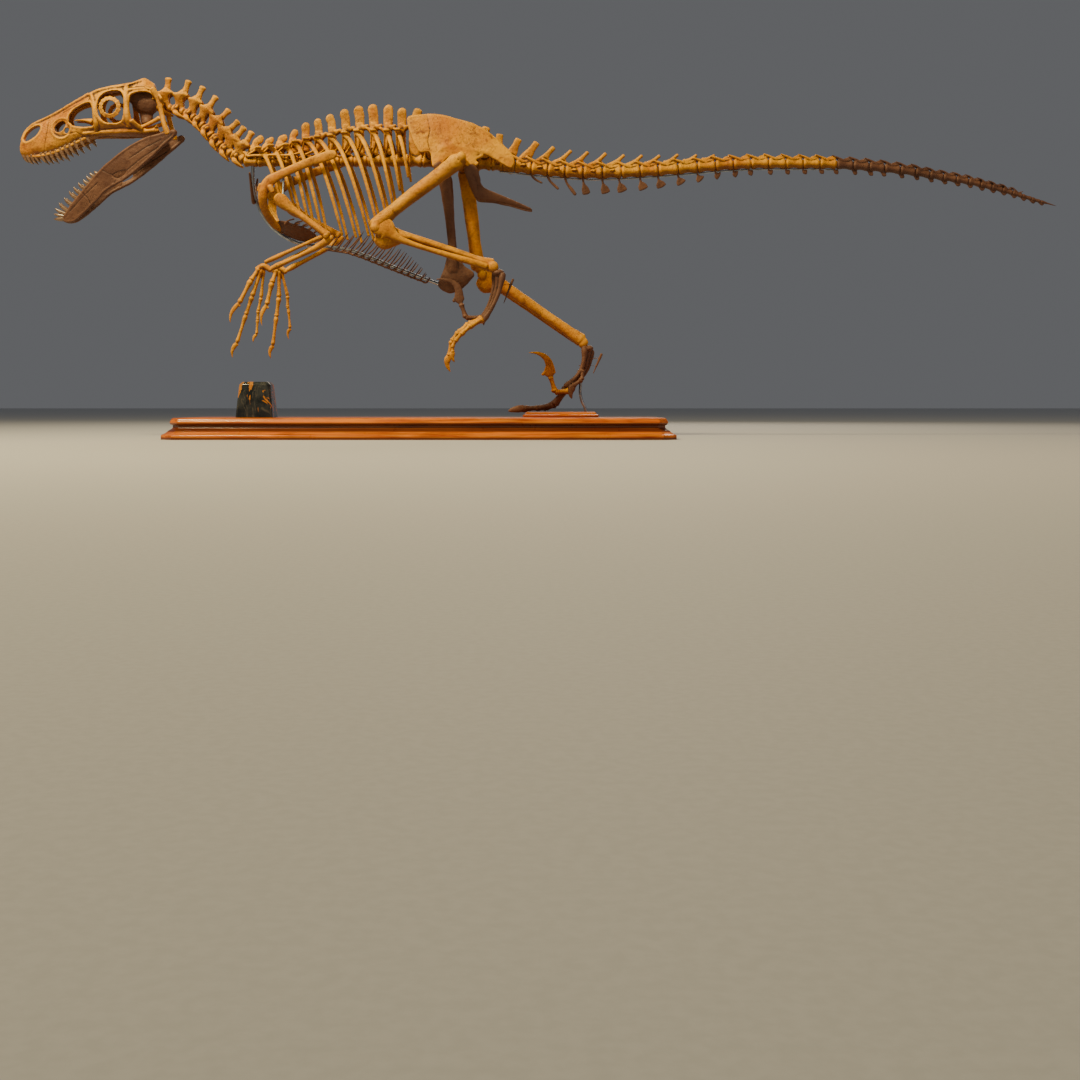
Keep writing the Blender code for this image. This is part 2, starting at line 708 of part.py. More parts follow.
sacral_places = []
sacral_crown = []
sacral_wings = []
for k in range(SACRAL_COUNT + 1):
    sacral_places.append((BACK_FIRST + BACK_SPACING * (BACK_COUNT + k - 0.5) - (0.5 if k == 0 else 0),
                          0, BACK_FLOOR + 19 - 1.8 * k))
for k, (x, z) in enumerate(SACRAL_TIPS):
    sacral_crown += [(x - 13, z - 34), (x - 10, z - 3), (x + 9, z), (x + 13, z - 34)]
    if 0 < k < SACRAL_COUNT - 1:
        level = BACK_FLOOR + 42 - 1.6 * k
        sacral_wings.append(beam([(x - 8, -48, level, 9, 12), (x - 8, 48, level, 9, 12)], (1, 0, 0)))
sacral_crown += [(198, 826), (-20, 832)]
sacrum = build("sacrum", [chain(sacral_places, [18.5] * (SACRAL_COUNT + 1), 6, 0.82),
                          plate(sacral_crown, 8)] + sacral_wings, "bone", sacral_places[0])
seat(sacrum, bpy.data.objects["rib_cage_left"], bpy.data.objects["rib_cage_right"])


# Hips

ILIUM_OUTLINE = ((-50, 953), (-34, 962), (18, 966), (62, 958), (101, 946), (153, 932), (205, 906),
                 (240, 874), (266, 843), (269, 811), (256, 793), (228, 807), (200, 819),
                 (168, 832), (156, 806), (128, 802), (116, 826), (92, 842), (66, 830), (56, 800),
                 (28, 800), (22, 851), (-10, 845), (-26, 874), (-42, 914))
ISCHIUM_OUTLINE = ((122, 802), (148, 816), (166, 782), (170, 755), (184, 737), (220, 728),
                   (268, 705), (325, 684), (325, 677), (256, 693), (204, 705), (152, 708),
                   (132, 743))
BOOT_OUTLINE = ((38, 458), (52, 443), (77, 433), (105, 440), (130, 462), (152, 488), (147, 500),
                (122, 514), (102, 545), (68, 548), (62, 510), (50, 480))

hips = {}
ischia = {}
for side, word in ((LEFT, "left"), (RIGHT, "right")):
    wing = plate(ILIUM_OUTLINE, 13)
    lean(wing, lambda x, z: side * (32 + 0.17 * (966 - z)))
    hips[side] = build("ilium_" + word, [wing], "bone", (92, side * 55, 842))
    seat(hips[side], sacrum)
    blade = plate(ISCHIUM_OUTLINE, 9)
    lean(blade, lambda x, z: side * (10 + 0.40 * (z - 677)))
    ischia[side] = build("ischium_" + word, [blade], "dark_bone", (140, side * 58, 795))
    seat(ischia[side], hips[side])

pubis_pieces = [plate(BOOT_OUTLINE, 24)]
for side in (LEFT, RIGHT):
    pubis_pieces.append(shaft([(42, 61 * side, 812, 10, 16), (62, 56 * side, 786, 12, 22),
                               (68, 44 * side, 745, 10, 16), (76, 22 * side, 670, 9, 12),
                               (84, 11 * side, 590, 8, 11), (86, 6 * side, 530, 9, 14)], 6))
pubis = build("pubis", pubis_pieces, "dark_bone", (86, 0, 530))
seat(pubis, hips[LEFT], hips[RIGHT], ischia[LEFT], ischia[RIGHT])


# Tail

def tail_height(x):
    """Height of the middle of the tail at a place along it."""
    return float(np.interp(x, [p[0] for p in TAIL_LINE], [p[1] for p in TAIL_LINE]))


def tail_side(x):
    """Sideways swing of the tail at a place along it."""
    return TAIL_SWING * max(0.0, (x - 300) / 1600) ** 2


def tail_spot(x, up=0.0, side=0.0):
    """A place beside the middle line of the tail."""
    return (x, tail_side(x) + side, tail_height(x) + up)


def tail_radius(x):
    """Half height of the tail's bodies at a place along it."""
    return float(np.interp(x, [200, 500, 850, 1200, 1400, 1600, 1780, 1880, 1906],
                           [17, 15.5, 13.5, 12.5, 11.5, 8.5, 5.5, 3, 1.5]))


joints = [BACK_FIRST + BACK_SPACING * (BACK_COUNT + SACRAL_COUNT - 0.5)]
while joints[-1] < TAIL_LINE[-1][0] - 20:
    place = joints[-1]
    share = max(0.0, (place - TAIL_TAPER_START) / (TAIL_LINE[-1][0] - TAIL_TAPER_START))
    joints.append(place + TAIL_FIRST_LENGTH + (TAIL_LAST_LENGTH - TAIL_FIRST_LENGTH) * share)
joints[-1] = TAIL_LINE[-1][0]

tail_groups = [[], [], [], []]
tail_stops = [[], [], [], []]
tail_sizes = [[], [], [], []]
for k, (front, back) in enumerate(zip(joints, joints[1:])):
    group = sum(front > place for place in TAIL_BREAKS)
    opens = not tail_stops[group]
    closes = k == len(joints) - 2 or sum(back > place for place in TAIL_BREAKS) != group
    middle = (front + back) / 2
    if opens:
        tail_stops[group].append(tail_spot(front - 0.6))
        tail_sizes[group].append(tail_radius(front))
    tail_stops[group].append(tail_spot(back))
    tail_sizes[group].append(tail_radius(back))
    pieces = tail_groups[group]
    radius = tail_radius(middle)
    if k < TAIL_SPINED:
        rise = 86 - 4.6 * k
        blade = 8.5 - 0.25 * k
        pieces.append(beam([(*tail_spot(middle - 8), 5, 13), (*tail_spot(middle + 6, radius + 10), 4, 11),
                            (*tail_spot(middle + 43, rise), 2.4, blade * 0.8)]))
    elif k < TAIL_CRESTED:
        pieces.append(beam([(*tail_spot(middle - 8), 4, 8),
                            (*tail_spot(middle + 8, radius + 4.5), 2, 5)]))
    if k < TAIL_WINGED:
        reach = 42 - 3.6 * k
        pieces.append(beam([(middle + 4, tail_side(middle) - reach, tail_height(middle) + 4, 6, 3),
                            (middle, tail_side(middle), tail_height(middle) + 4, 11, 6),
                            (middle + 4, tail_side(middle) + reach, tail_height(middle) + 4, 6, 3)],
                           (1, 0, 0)))
    if 0 < k < len(joints) - 12 and not closes:
        depth = float(np.interp(k, [1, 3, 6, 10, 16, 32], [24, 40, 38, 22, 15, 5]))
        width = float(np.interp(k, [1, 3, 6, 10, 16, 32], [5, 9, 15, 13, 9, 4]))
        head = max(2.5, radius * 0.42)
        pieces.append(beam([(*tail_spot(back - 4, -0.55 * radius), head, head),
                            (*tail_spot(back + 2, -radius - 0.3 * depth), 2.6, 4),
                            (*tail_spot(back + 10, -radius - depth), 1.6, width / 2)]))

tails = []
for k, pieces in enumerate(tail_groups):
    tails.append(build("tail_" + str(k + 1),
                       [chain(tail_stops[k], tail_sizes[k], 6 if k < 2 else 5, 0.78)] + pieces,
                       "bone" if k < 2 else "dark_bone", tail_stops[k][0]))
seat(tails[0], sacrum)
for ahead, behind in zip(tails, tails[1:]):
    seat(behind, ahead)

rod_start = joints[1] - 10
rod_end = 1230
rod_points = []
for k in range(14):
    x = rod_start + (rod_end - rod_start) * k / 13
    rod_points.append(tail_spot(x, -tail_radius(x) - TAIL_ROD_RADIUS - 0.4))
tail_rod = build("stand_rod_tail", [rod(rod_points, [TAIL_ROD_RADIUS] * 14, 6)], "steel",
                 rod_points[0])
for tail in tails[:3]:
    seat(tail, tail_rod)


# Shoulder girdle, breastbone and belly ribs

belly_rod = build("stand_rod_belly",
                  [rod([(x, 0, z) for x, z in BELLY_ROD], [BELLY_ROD_RADIUS] * len(BELLY_ROD), 8)],
                  "steel", (BELLY_ROD[0][0], 0, BELLY_ROD[0][1]))
seat(belly_rod, neck, pubis, bpy.data.objects["rib_cage_left"], bpy.data.objects["rib_cage_right"])

sternum_rings = []
for x, z, half, rise in ((-446, 627, 20, 8), (-420, 608, 44, 18), (-385, 592, 50, 24),
                         (-350, 582, 44, 22), (-326, 581, 24, 10)):
    sternum_rings.append([(x, -half, z + rise), (x, 0, z), (x, half, z + rise),
                          (x, half - 2, z + rise + 7), (x, 0, z + 7), (x, -half + 2, z + rise + 7)])
sternum = build("sternum", [loft(sternum_rings)], "dark_bone", (-446, 0, 634))
seat(sternum, belly_rod)

girdles = {}
for side, word in ((LEFT, "left"), (RIGHT, "right")):
    blade = shaft(sided([(-262, 88, 834, 4, 13), (-300, 88, 826, 5, 15), (-370, 85, 803, 6, 14),
                         (-430, 83, 778, 7, 15), (-462, 82, 752, 9, 18), (-476, 78, 715, 9, 15),
                         (-474, 68, 675, 7, 12), (-456, 48, 640, 6, 11), (-428, 28, 618, 6, 10)],
                        side), 8)
    girdles[side] = build("scapula_" + word, [blade], "bone", (-462, 84 * side, 752))
    seat(girdles[side], sternum, belly_rod, bpy.data.objects["rib_cage_" + word])

furcula = build("furcula", [rod([(-512, y, z) for y, z in
                                 ((-62, 786), (-48, 766), (-22, 728), (0, 706), (22, 728),
                                  (48, 766), (62, 786))], [3.5, 4.5, 5, 6, 5, 4.5, 3.5], 6)],
                "dark_bone", (-512, 0, 706))
seat(furcula, belly_rod)

gastral_pieces = []
gastral_keel = []
belly_x = [p[0] for p in BELLY_ROD[6:]]
belly_z = [p[1] for p in BELLY_ROD[6:]]
row_gap = 19.5
for k in range(GASTRALIA_ROWS):
    x = -288 + row_gap * k
    behind, ahead = np.interp((x - 12, x + 12), belly_x, belly_z)
    slope = (ahead - behind) / 24
    z = float(np.interp(x, belly_x, belly_z)) - (BELLY_ROD_RADIUS + 4.8) * math.hypot(1, slope)
    gastral_keel.append((x, 0, z))
    grow = math.sin(math.pi * (0.30 + 0.62 * k / (GASTRALIA_ROWS - 1)))
    reach = 56 * grow
    for side in (LEFT, RIGHT):
        gastral_pieces.append(shaft([(x, 0.5 * side, z, 2.7),
                                     (x + 22 * grow, 0.58 * reach * side, z + 15 * grow, 2.7),
                                     (x + 56 * grow, reach * side, z + 60 * grow, 1.6)], 3))
gastral_pieces.insert(0, rod(gastral_keel, [4] * GASTRALIA_ROWS, 4))
gastralia = build("gastralia", gastral_pieces, "dark_bone", (-288, 0, 566))


# Arms and hands

def limb_bone(start, end, rows, side_hint=(0, 1, 0), sides=8):
    """A long bone between two places: rows of (share of the way, sideways, up, half wide, half deep)."""
    first = Vector(start)
    last = Vector(end)
    stations = []
    for share, out, lift, wide, deep in rows:
        spot = first.lerp(last, share)
        stations.append((spot.x, spot.y + out, spot.z + lift, wide, deep))
    return shaft(stations, sides, side_hint)


def finger(points, sizes):
    """A row of finger bones end to end, the last one a hooked claw."""
    places = [Vector(point) for point in points]
    base, tip = places[-2], places[-1]
    bend = Vector((-1, 0, 0)) * (tip - base).length * 0.14
    hook = (places[-2] - places[-3]).normalized()
    size = sizes[-1]
    return [chain(places[:-1], sizes[:-1], 5, 0.66),
            shaft([(*(base - hook * 0.6 * size), size * 0.6, size * 0.9),
                   (*(base.lerp(tip, 0.3) + bend * 0.8), size * 0.5, size * 1.05),
                   (*(base.lerp(tip, 0.65) + bend), size * 0.4, size * 0.75), (*tip, 0.6, 0.8)], 4)]


HAND_LEFT = {
    "i": ((-500, -66, 494), (-506, -70, 468), (-540, -76, 400), (-566, -78, 341)),
    "ii": ((-482, -62, 491), (-505, -62, 420), (-523, -61, 366), (-550, -60, 283),
           (-563, -60, 239)),
    "iii": ((-468, -56, 488), (-480, -52, 417), (-489, -50, 378), (-491, -49, 352),
            (-494, -48, 310), (-504, -47, 284)),
}
HAND_RIGHT = {
    "i": ((-462, 66, 505), (-468, 62, 471), (-483, 58, 404), (-496, 56, 337)),
    "ii": ((-445, 72, 505), (-449, 74, 426), (-457, 75, 368), (-468, 76, 281), (-474, 76, 240)),
    "iii": ((-430, 78, 500), (-424, 82, 432), (-424, 84, 398), (-422, 85, 391), (-417, 86, 334),
            (-420, 86, 298)),
}
FINGER_SIZES = {"i": (7, 7.5, 7, 8), "ii": (7, 7.5, 6.5, 6, 7), "iii": (5, 5, 4.5, 4.5, 4, 5)}

arms = {}
for side, word, elbow, wrist, hand in ((LEFT, "left", ELBOW_LEFT, WRIST_LEFT, HAND_LEFT),
                                       (RIGHT, "right", ELBOW_RIGHT, WRIST_RIGHT, HAND_RIGHT)):
    shoulder = (-424, 100 * side, 706)
    humerus = build("humerus_" + word, [limb_bone(shoulder, elbow, (
        (0.0, 0, 4, 8, 14), (0.06, 0, 2, 13, 24), (0.2, 0, -2, 11, 23), (0.42, 0, 0, 9, 11),
        (0.75, 0, 0, 9, 9), (0.92, 0, 0, 13, 12), (1.0, 0, 0, 11, 10)))], "bone", shoulder)
    low_elbow = Vector(elbow) + Vector((-4, 0, -8))
    ulna = build("ulna_" + word, [limb_bone(low_elbow + Vector((14, 0, -2)), Vector(wrist)
                                            + Vector((8, 0, -12)), (
        (0.0, 0, 3, 8, 9), (0.1, 0, 0, 9, 11), (0.35, 0, -3, 6, 7), (0.7, 0, -2, 5.5, 6),
        (0.93, 0, 0, 7, 8), (1.0, 0, 0, 6, 6)), sides=6)], "bone", low_elbow)
    radius_bone = build("radius_" + word, [limb_bone(low_elbow + Vector((-14, -3 * side, 5)),
                                                     Vector(wrist) + Vector((-8, 0, 8)), (
        (0.0, 0, 0, 6, 6), (0.08, 0, 0, 7, 7), (0.4, 0, 1, 4.5, 5), (0.9, 0, 0, 6.5, 7),
        (1.0, 0, 0, 6, 6)), sides=6)], "bone", low_elbow)
    seat(ulna, humerus)
    seat(radius_bone, humerus, ulna)
    carpus = [shaft([(wrist[0] - 34, wrist[1] - 2 * side, wrist[2] - 12, 7, 8),
                     (wrist[0] - 12, wrist[1], wrist[2] - 2, 9, 10),
                     (wrist[0] + 8, wrist[1], wrist[2] - 16, 8, 9)], 6)]
    for finger_name, line in hand.items():
        start = Vector((wrist[0] - 14, wrist[1], wrist[2] - 4)).lerp(Vector(line[0]), 0.4)
        carpus += finger((tuple(start),) + line[1:], FINGER_SIZES[finger_name])
    hand_body = build("hand_" + word, carpus, "bone", wrist)
    seat(hand_body, ulna, radius_bone)
    shoulder_rod = build("stand_rod_shoulder_" + word,
                         [rod([(-408, 92 * side, 800), (-409, 94 * side, 756),
                               (-407, 100 * side, 700)], [SHOULDER_ROD_RADIUS] * 3, 6)], "steel",
                         (-409, 94 * side, 756))
    seat(shoulder_rod, girdles[side], humerus)
    arms[side] = (humerus, shoulder_rod)


# Legs

def leg(side, word, knee, ankle, hip_lift):
    """Thigh, shin and splint bone of one leg, each seated on the one above it."""
    hip = (HIP[0] + 14, HIP_SPREAD * side, HIP[1] + 8)
    head = shaft([(HIP[0] - 2, 44 * side, HIP[1] + 2, 17, 17),
                  (HIP[0] + 6, 70 * side, HIP[1] + 2, 15, 15), (*hip[:2], hip[2] - 6, 14, 14)], 8,
                 (1, 0, 0))
    body = limb_bone(hip, knee, ((0.0, 0, 0, 14, 15), (0.07, 0, 0, 19, 22), (0.22, 0, 0, 17, 19),
                                 (0.55, 0, 0, 17, 17), (0.8, 0, 0, 18, 19), (0.93, 0, 0, 24, 25),
                                 (1.0, 0, 0, 21, 20)))
    femur = build("femur_" + word, [body, head], "bone", hip)
    seat(femur, hips[side], ischia[side], pubis)
    return femur


def shin(word, side, start, ankle, femur, crest):
    """The shin bone with its crest in front, and the thin splint bone outside it."""
    tibia = build("tibia_" + word, [limb_bone(start, ankle, (
        (0.0, 0, crest[0], 18, 34), (0.05, 0, crest[1], 21, 44), (0.16, 0, crest[2], 17, 30),
        (0.32, 0, 0, 13, 15), (0.7, 0, 0, 12, 12), (0.9, 0, 0, 15, 13), (0.97, 0, 0, 19, 18),
        (1.0, 0, 0, 16, 15)))], "bone", start)
    outside = 20 * side
    lower = Vector(start) + Vector((6, 0, -26))
    fibula = build("fibula_" + word, [limb_bone(lower, Vector(ankle) + Vector((-14, 0, -7)), (
        (0.0, outside * 1.25, 0, 7, 18), (0.08, outside * 1.25, 0, 7, 19),
        (0.25, outside * 0.9, 6, 5.5, 9), (0.6, outside * 0.75, 6, 5, 7),
        (0.93, outside * 0.8, 2, 6, 8), (1.0, outside * 0.8, 0, 5, 6)), sides=6)], "bone", lower)
    seat(tibia, femur)
    seat(fibula, femur, tibia)
    return tibia, fibula


femur_left = leg(LEFT, "left", KNEE_LEFT, ANKLE_LEFT, 0)
femur_right = leg(RIGHT, "right", KNEE_RIGHT, ANKLE_RIGHT, 0)
tibia_left, fibula_left = shin("left", LEFT, (-128, -112, 604), ANKLE_LEFT, femur_left, (4, 2, -6))
tibia_right, fibula_right = shin("right", RIGHT, (165, 93, 496), ANKLE_RIGHT, femur_right,
                                 (4, 2, -6))


def foot_bones(word, side, ankle, ball, shin_bones, splint, spur):
    """Three long foot bones side by side, the thin outer splint and the small back toe."""
    start = Vector(ankle) + Vector((8, 0, -6))
    pieces = []
    for out in (-17, 0, 17):
        end = Vector(ball) + Vector((0, out * 1.1 * side, 0))
        top = start + Vector((0, out * 0.72 * side, 0))
        pieces.append(shaft([(*top, 11, 15), (*top.lerp(end, 0.5), 8, 10.5),
                             (*top.lerp(end, 0.9), 9.5, 12.5), (*end, 7, 8)], 6))
    pieces.append(beam([(*splint[0], 2.5, 5), (*splint[1], 2, 3)]))
    for share in (0.2, 0.6):
        pieces.append(beam([(*Vector(splint[0]).lerp(Vector(splint[1]), share), 1.2, 1.2),
                            (*start.lerp(Vector(ball), 0.2 + 0.4 * share), 1.2, 1.2)]))
    pieces += finger(spur, (6, 7, 6, 6))
    body = build("metatarsus_" + word, pieces, "dark_bone", start)
    seat(body, *shin_bones)
    return body


def toe(name, points, sizes, carriers, claw=None):
    """One toe, its bones end to end, with its claw."""
    pieces = finger(points, sizes)
    if claw is not None:
        bpy.data.objects.remove(pieces.pop(), do_unlink=True)
        pieces.append(shaft(claw, 6))
    body = build(name, pieces, "dark_bone", points[0])
    seat(body, *carriers)
    return body


metatarsus_left = foot_bones("left", LEFT, ANKLE_LEFT, (180, -90, 352), (tibia_left, fibula_left),
                             ((268, -84, 470), (240, -84, 398)),
                             ((196, -66, 400), (214, -62, 376), (208, -62, 344), (196, -62, 318)))
metatarsus_right = foot_bones("right", RIGHT, ANKLE_RIGHT, (424, 95, 160),
                              (tibia_right, fibula_right), ((536, 92, 256), (510, 92, 196)),
                              ((440, 72, 196), (452, 68, 170), (448, 66, 150), (440, 66, 118)))

SICKLE_LEFT = ((108, -69, 404, 6, 12), (96, -69, 424, 6, 23), (80, -69, 444, 6, 18),
               (60, -69, 464, 5, 13), (44, -69, 474, 4, 9), (24, -69, 478, 1, 1.5))
toe("toe_2_left", ((184, -71, 352), (136, -70, 352), (118, -69, 380), (102, -69, 410),
                   (24, -69, 478)), (9, 9, 9, 9, 9), (metatarsus_left,), SICKLE_LEFT)
toe("toe_3_left", ((178, -90, 352), (138, -92, 336), (108, -93, 312), (85, -93, 287),
                   (77, -93, 243), (84, -93, 196)), (10, 9.5, 8.5, 7, 7, 8), (metatarsus_left,))
toe("toe_4_left", ((180, -109, 350), (146, -112, 332), (120, -115, 310), (102, -116, 290),
                   (92, -117, 272), (92, -117, 254), (98, -117, 224)),
    (9, 8.5, 8, 7, 6, 6, 7), (metatarsus_left,))

SICKLE_RIGHT = ((376, 72, 180, 6, 12), (378, 72, 190, 6, 24), (388, 72, 208, 6, 18),
                (386, 72, 228, 5.5, 14), (368, 72, 250, 4.5, 10), (340, 72, 261, 3, 6),
                (313, 72, 260, 1, 1.5))
toe("toe_2_right", ((424, 76, 154), (396, 74, 142), (382, 72, 164), (378, 72, 184),
                    (313, 72, 260)), (9, 9, 8, 8, 9), (metatarsus_right,), SICKLE_RIGHT)
toe("toe_3_right", ((430, 95, 156), (390, 95, 96), (345, 95, 87.5), (303, 95, 87), (249, 95, 80)),
    (10, 9.5, 9, 9, 9), (metatarsus_right, plinth))
toe("toe_4_right", ((430, 114, 154), (396, 116, 96), (370, 118, 87), (344, 119, 86.5),
                    (318, 120, 86), (280, 120, 80)), (9.5, 8.5, 8, 7.5, 7.5, 8),
    (metatarsus_right, plinth))

foot_rod = build("stand_rod_foot",
                 [rod([(484, 95, PLINTH_TOP + GAP), (484, 95, 96), (476, 95, 130), (470, 95, 160),
                       (474, 95, 192), (486, 95, 222)], [FOOT_ROD_RADIUS] * 6, 8)],
                 "steel", (484, 95, PLINTH_TOP + GAP))
seat(foot_rod, metatarsus_right)

for body in skeleton.objects:
    for polygon in body.data.polygons:
        polygon.use_smooth = True
    body.data.set_sharp_from_angle(angle=math.radians(38))
for guide in list(cutters.objects):
    guide.hide_render = True
    guide.display_type = "WIRE"
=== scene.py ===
import math

import bpy
import numpy as np
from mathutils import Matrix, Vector


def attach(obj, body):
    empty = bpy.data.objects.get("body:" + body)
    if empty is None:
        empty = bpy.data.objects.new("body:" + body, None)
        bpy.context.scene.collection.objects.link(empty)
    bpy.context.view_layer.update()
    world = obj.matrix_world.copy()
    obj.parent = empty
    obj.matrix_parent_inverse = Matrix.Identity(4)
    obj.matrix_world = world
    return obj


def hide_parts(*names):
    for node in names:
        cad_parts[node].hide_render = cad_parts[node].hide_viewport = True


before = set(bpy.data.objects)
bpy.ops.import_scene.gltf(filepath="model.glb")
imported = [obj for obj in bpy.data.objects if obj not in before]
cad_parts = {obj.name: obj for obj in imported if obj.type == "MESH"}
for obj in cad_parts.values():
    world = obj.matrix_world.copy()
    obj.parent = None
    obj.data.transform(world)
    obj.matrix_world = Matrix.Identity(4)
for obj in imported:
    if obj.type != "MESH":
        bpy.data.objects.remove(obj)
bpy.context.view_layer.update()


# The room: a pale studio floor, a warm lamp above the animal's left shoulder, a weak one
# at its tail, a soft one behind and a pale sky. The camera stands level with the base,
# 4.5 m off the backbone, with the frame let down a little as in the photograph.
room = bpy.context.scene
eye = bpy.data.cameras.new("eye")
eye.lens = 50
eye.sensor_width = 36
eye.shift_y = -0.125
eye.clip_end = 200
camera = bpy.data.objects.new("camera", eye)
camera.location = (0.347, -4.5, 0.0992)
camera.rotation_euler = (math.radians(90), 0, 0)
room.collection.objects.link(camera)
room.camera = camera


def lamp(name, place, aim, size, power, colour):
    """An area light of a given size, turned from its place towards its aim."""
    data = bpy.data.lights.new(name, "AREA")
    data.shape = "DISK"
    data.size = size
    data.energy = power
    data.color = colour
    thing = bpy.data.objects.new(name, data)
    thing.location = place
    thing.rotation_euler = (Vector(aim) - Vector(place)).to_track_quat("-Z", "Y").to_euler()
    room.collection.objects.link(thing)


lamp("key_light", (-2.0, -2.1, 3.6), (0.1, 0, 0.6), 0.8, 255, (1.0, 0.82, 0.44))
lamp("side_light", (3.6, -2.4, 1.2), (0.4, 0, 0.6), 2.2, 20, (1.0, 0.6, 0.36))
lamp("back_light", (0.8, 3.2, 2.6), (0.2, 0, 0.6), 2.4, 60, (1.0, 0.84, 0.62))

sky = bpy.data.worlds.new("sky")
sky.use_nodes = True
sky.node_tree.nodes["Background"].inputs["Color"].default_value = (0.93, 0.95, 1.0, 1)
sky.node_tree.nodes["Background"].inputs["Strength"].default_value = 0.13
room.world = sky


# Wood: the stepped base and the small plinth are varnished mahogany boards, moulded all
# round and clipped at the corners. Each is its plan drawn in step by step as it rises.
class Number:
    """A number in a material; arithmetic on it adds Math nodes."""

    def __init__(self, finish, socket):
        self.finish = finish
        self.socket = socket

    def step(self, operation, first, second=0.0, clamp=False):
        made = self.finish.add("Math", {"operation": operation, "use_clamp": clamp},
                               {0: first, 1: second})
        return Number(self.finish, made.outputs[0])

    def __add__(self, other):
        return self.step("ADD", self, other)

    def __sub__(self, other):
        return self.step("SUBTRACT", self, other)

    def __rsub__(self, other):
        return self.step("SUBTRACT", other, self)

    def __mul__(self, other):
        return self.step("MULTIPLY", self, other)

    def ramp(self, low, high):
        """0 below low and 1 above high, with a soft rise between."""
        made = self.finish.add("MapRange", {"interpolation_type": "SMOOTHSTEP"},
                               {"Value": self, "From Min": low, "From Max": high})
        return Number(self.finish, made.outputs[0])


class Finish:
    """A material under construction, with its principled shader."""

    def __init__(self, name, roughness=0.5, metallic=0.0, **fixed):
        self.material = bpy.data.materials.new(name)
        self.material.use_nodes = True
        self.tree = self.material.node_tree
        self.shader = self.tree.nodes["Principled BSDF"]
        self.shader.inputs["Roughness"].default_value = roughness
        self.shader.inputs["Metallic"].default_value = metallic
        for key, value in fixed.items():
            self.shader.inputs[key.replace("_", " ")].default_value = value
        self.place = self.add("TexCoord", {}, {}).outputs["Object"]

    def add(self, kind, settings, sockets):
        """One node of a kind: its settings first, then the values or links of its sockets."""
        made = self.tree.nodes.new("ShaderNode" + kind)
        for key, value in settings.items():
            setattr(made, key, value)
        for key, value in sockets.items():
            socket = made.inputs[key]
            if isinstance(value, Number):
                value = value.socket
            if isinstance(value, bpy.types.NodeSocket):
                self.tree.links.new(value, socket)
            else:
                socket.default_value = value
        return made

    def stretched(self, sizes, turn=(0, 0, 0)):
        """The place on the piece, scaled by sizes along its axes."""
        return self.add("Mapping", {}, {"Vector": self.place, "Scale": sizes,
                                        "Rotation": turn}).outputs[0]

    def noise(self, scale, detail=3.0, rough=0.55, place=None, bend=0.0):
        made = self.add("TexNoise", {}, {"Vector": place or self.place, "Scale": scale,
                                         "Detail": detail, "Roughness": rough,
                                         "Distortion": bend})
        return Number(self, made.outputs["Fac"])

    def cells(self, scale, feature="F1", place=None):
        made = self.add("TexVoronoi", {"feature": feature},
                        {"Vector": place or self.place, "Scale": scale})
        return Number(self, made.outputs["Distance"])

    def mixed(self, share, first, second):
        """Colours first and second, the second by its share."""
        def colour(value):
            return (*value, 1) if isinstance(value, tuple) else value
        made = self.add("Mix", {"data_type": "RGBA"},
                        {0: share, 6: colour(first), 7: colour(second)})
        return made.outputs[2]

    def wear(self, colour, roughness=None, height=None, depth=0.001, strength=0.5):
        """Join the worked-out colour, roughness and height to the shader."""
        for key, value in (("Base Color", colour), ("Roughness", roughness)):
            if value is not None:
                value = value.socket if isinstance(value, Number) else value
                self.tree.links.new(value, self.shader.inputs[key])
        if height is not None:
            bump = self.add("Bump", {}, {"Height": height, "Strength": strength, "Distance": depth})
            self.tree.links.new(bump.outputs[0], self.shader.inputs["Normal"])
        return self.material


def varnished_wood(name):
    """Red-brown wood: long streaks, fine pores, painted shade in the cove and along the bottom, and a thick clear coat.
    """
    wood = Finish(name, roughness=0.35, Coat_Roughness=0.1, Coat_Weight=0.35,
                  Specular_IOR_Level=0.3)
    fine = (7, 260, 260)
    figure = wood.noise(2.2, 4, 0.6, wood.stretched((1.2, 9, 9)), 1.2)
    streak = wood.noise(1.0, 3, 0.6, wood.stretched(fine), 0.2)
    pore = wood.noise(2.4, 2, 0.5, wood.stretched(fine)).ramp(0.62, 0.74)
    colour = wood.mixed(figure.ramp(0.34, 0.66), (0.30, 0.034, 0.002), (0.84, 0.19, 0.002))
    colour = wood.mixed(streak.ramp(0.35, 0.75) * 0.55, colour, (1.0, 0.36, 0.004))
    colour = wood.mixed(pore * 0.6, colour, (0.09, 0.02, 0.01))
    level = Number(wood, wood.add("SeparateXYZ", {}, {0: wood.place}).outputs[2])
    # Painted shade: the cove of the moulding and a strip along the bottom are darkened.
    cove = level.ramp(0.020, 0.025) - level.ramp(0.046, 0.050) + 1.0 - level.ramp(0.005, 0.009)
    colour = wood.mixed(cove * 0.85, colour, (0.06, 0.009, 0.003))
    rub = wood.noise(34, 4)
    return wood.wear(colour, rub * 0.22 + 0.2, pore * -0.5 + streak * 0.3, 0.0004, 0.25)


def ring_quads(count, around):
    """Faces between rings of points, each ring joined to the next and closed on itself."""
    ring, spot = np.meshgrid(np.arange(count - 1), np.arange(around), indexing="ij")
    after = (spot + 1) % around
    return np.stack([ring * around + spot, ring * around + after, (ring + 1) * around + after,
                     (ring + 1) * around + spot], axis=-1).reshape(-1, 4)


def shown(name, mesh, material, nodes, sharp=None):
    """A visible piece: its material, smooth shading up to an angle, a place on the root body, and the parts it stands
    for hidden.
    """
    thing = bpy.data.objects.new(name, mesh)
    room.collection.objects.link(thing)
    mesh.materials.clear()
    mesh.materials.append(material)
    mesh.polygons.foreach_set("use_smooth", np.ones(len(mesh.polygons), bool))
    if sharp:
        mesh.set_sharp_from_angle(angle=math.radians(sharp))
    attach(thing, "root")
    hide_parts(*nodes)
    return thing


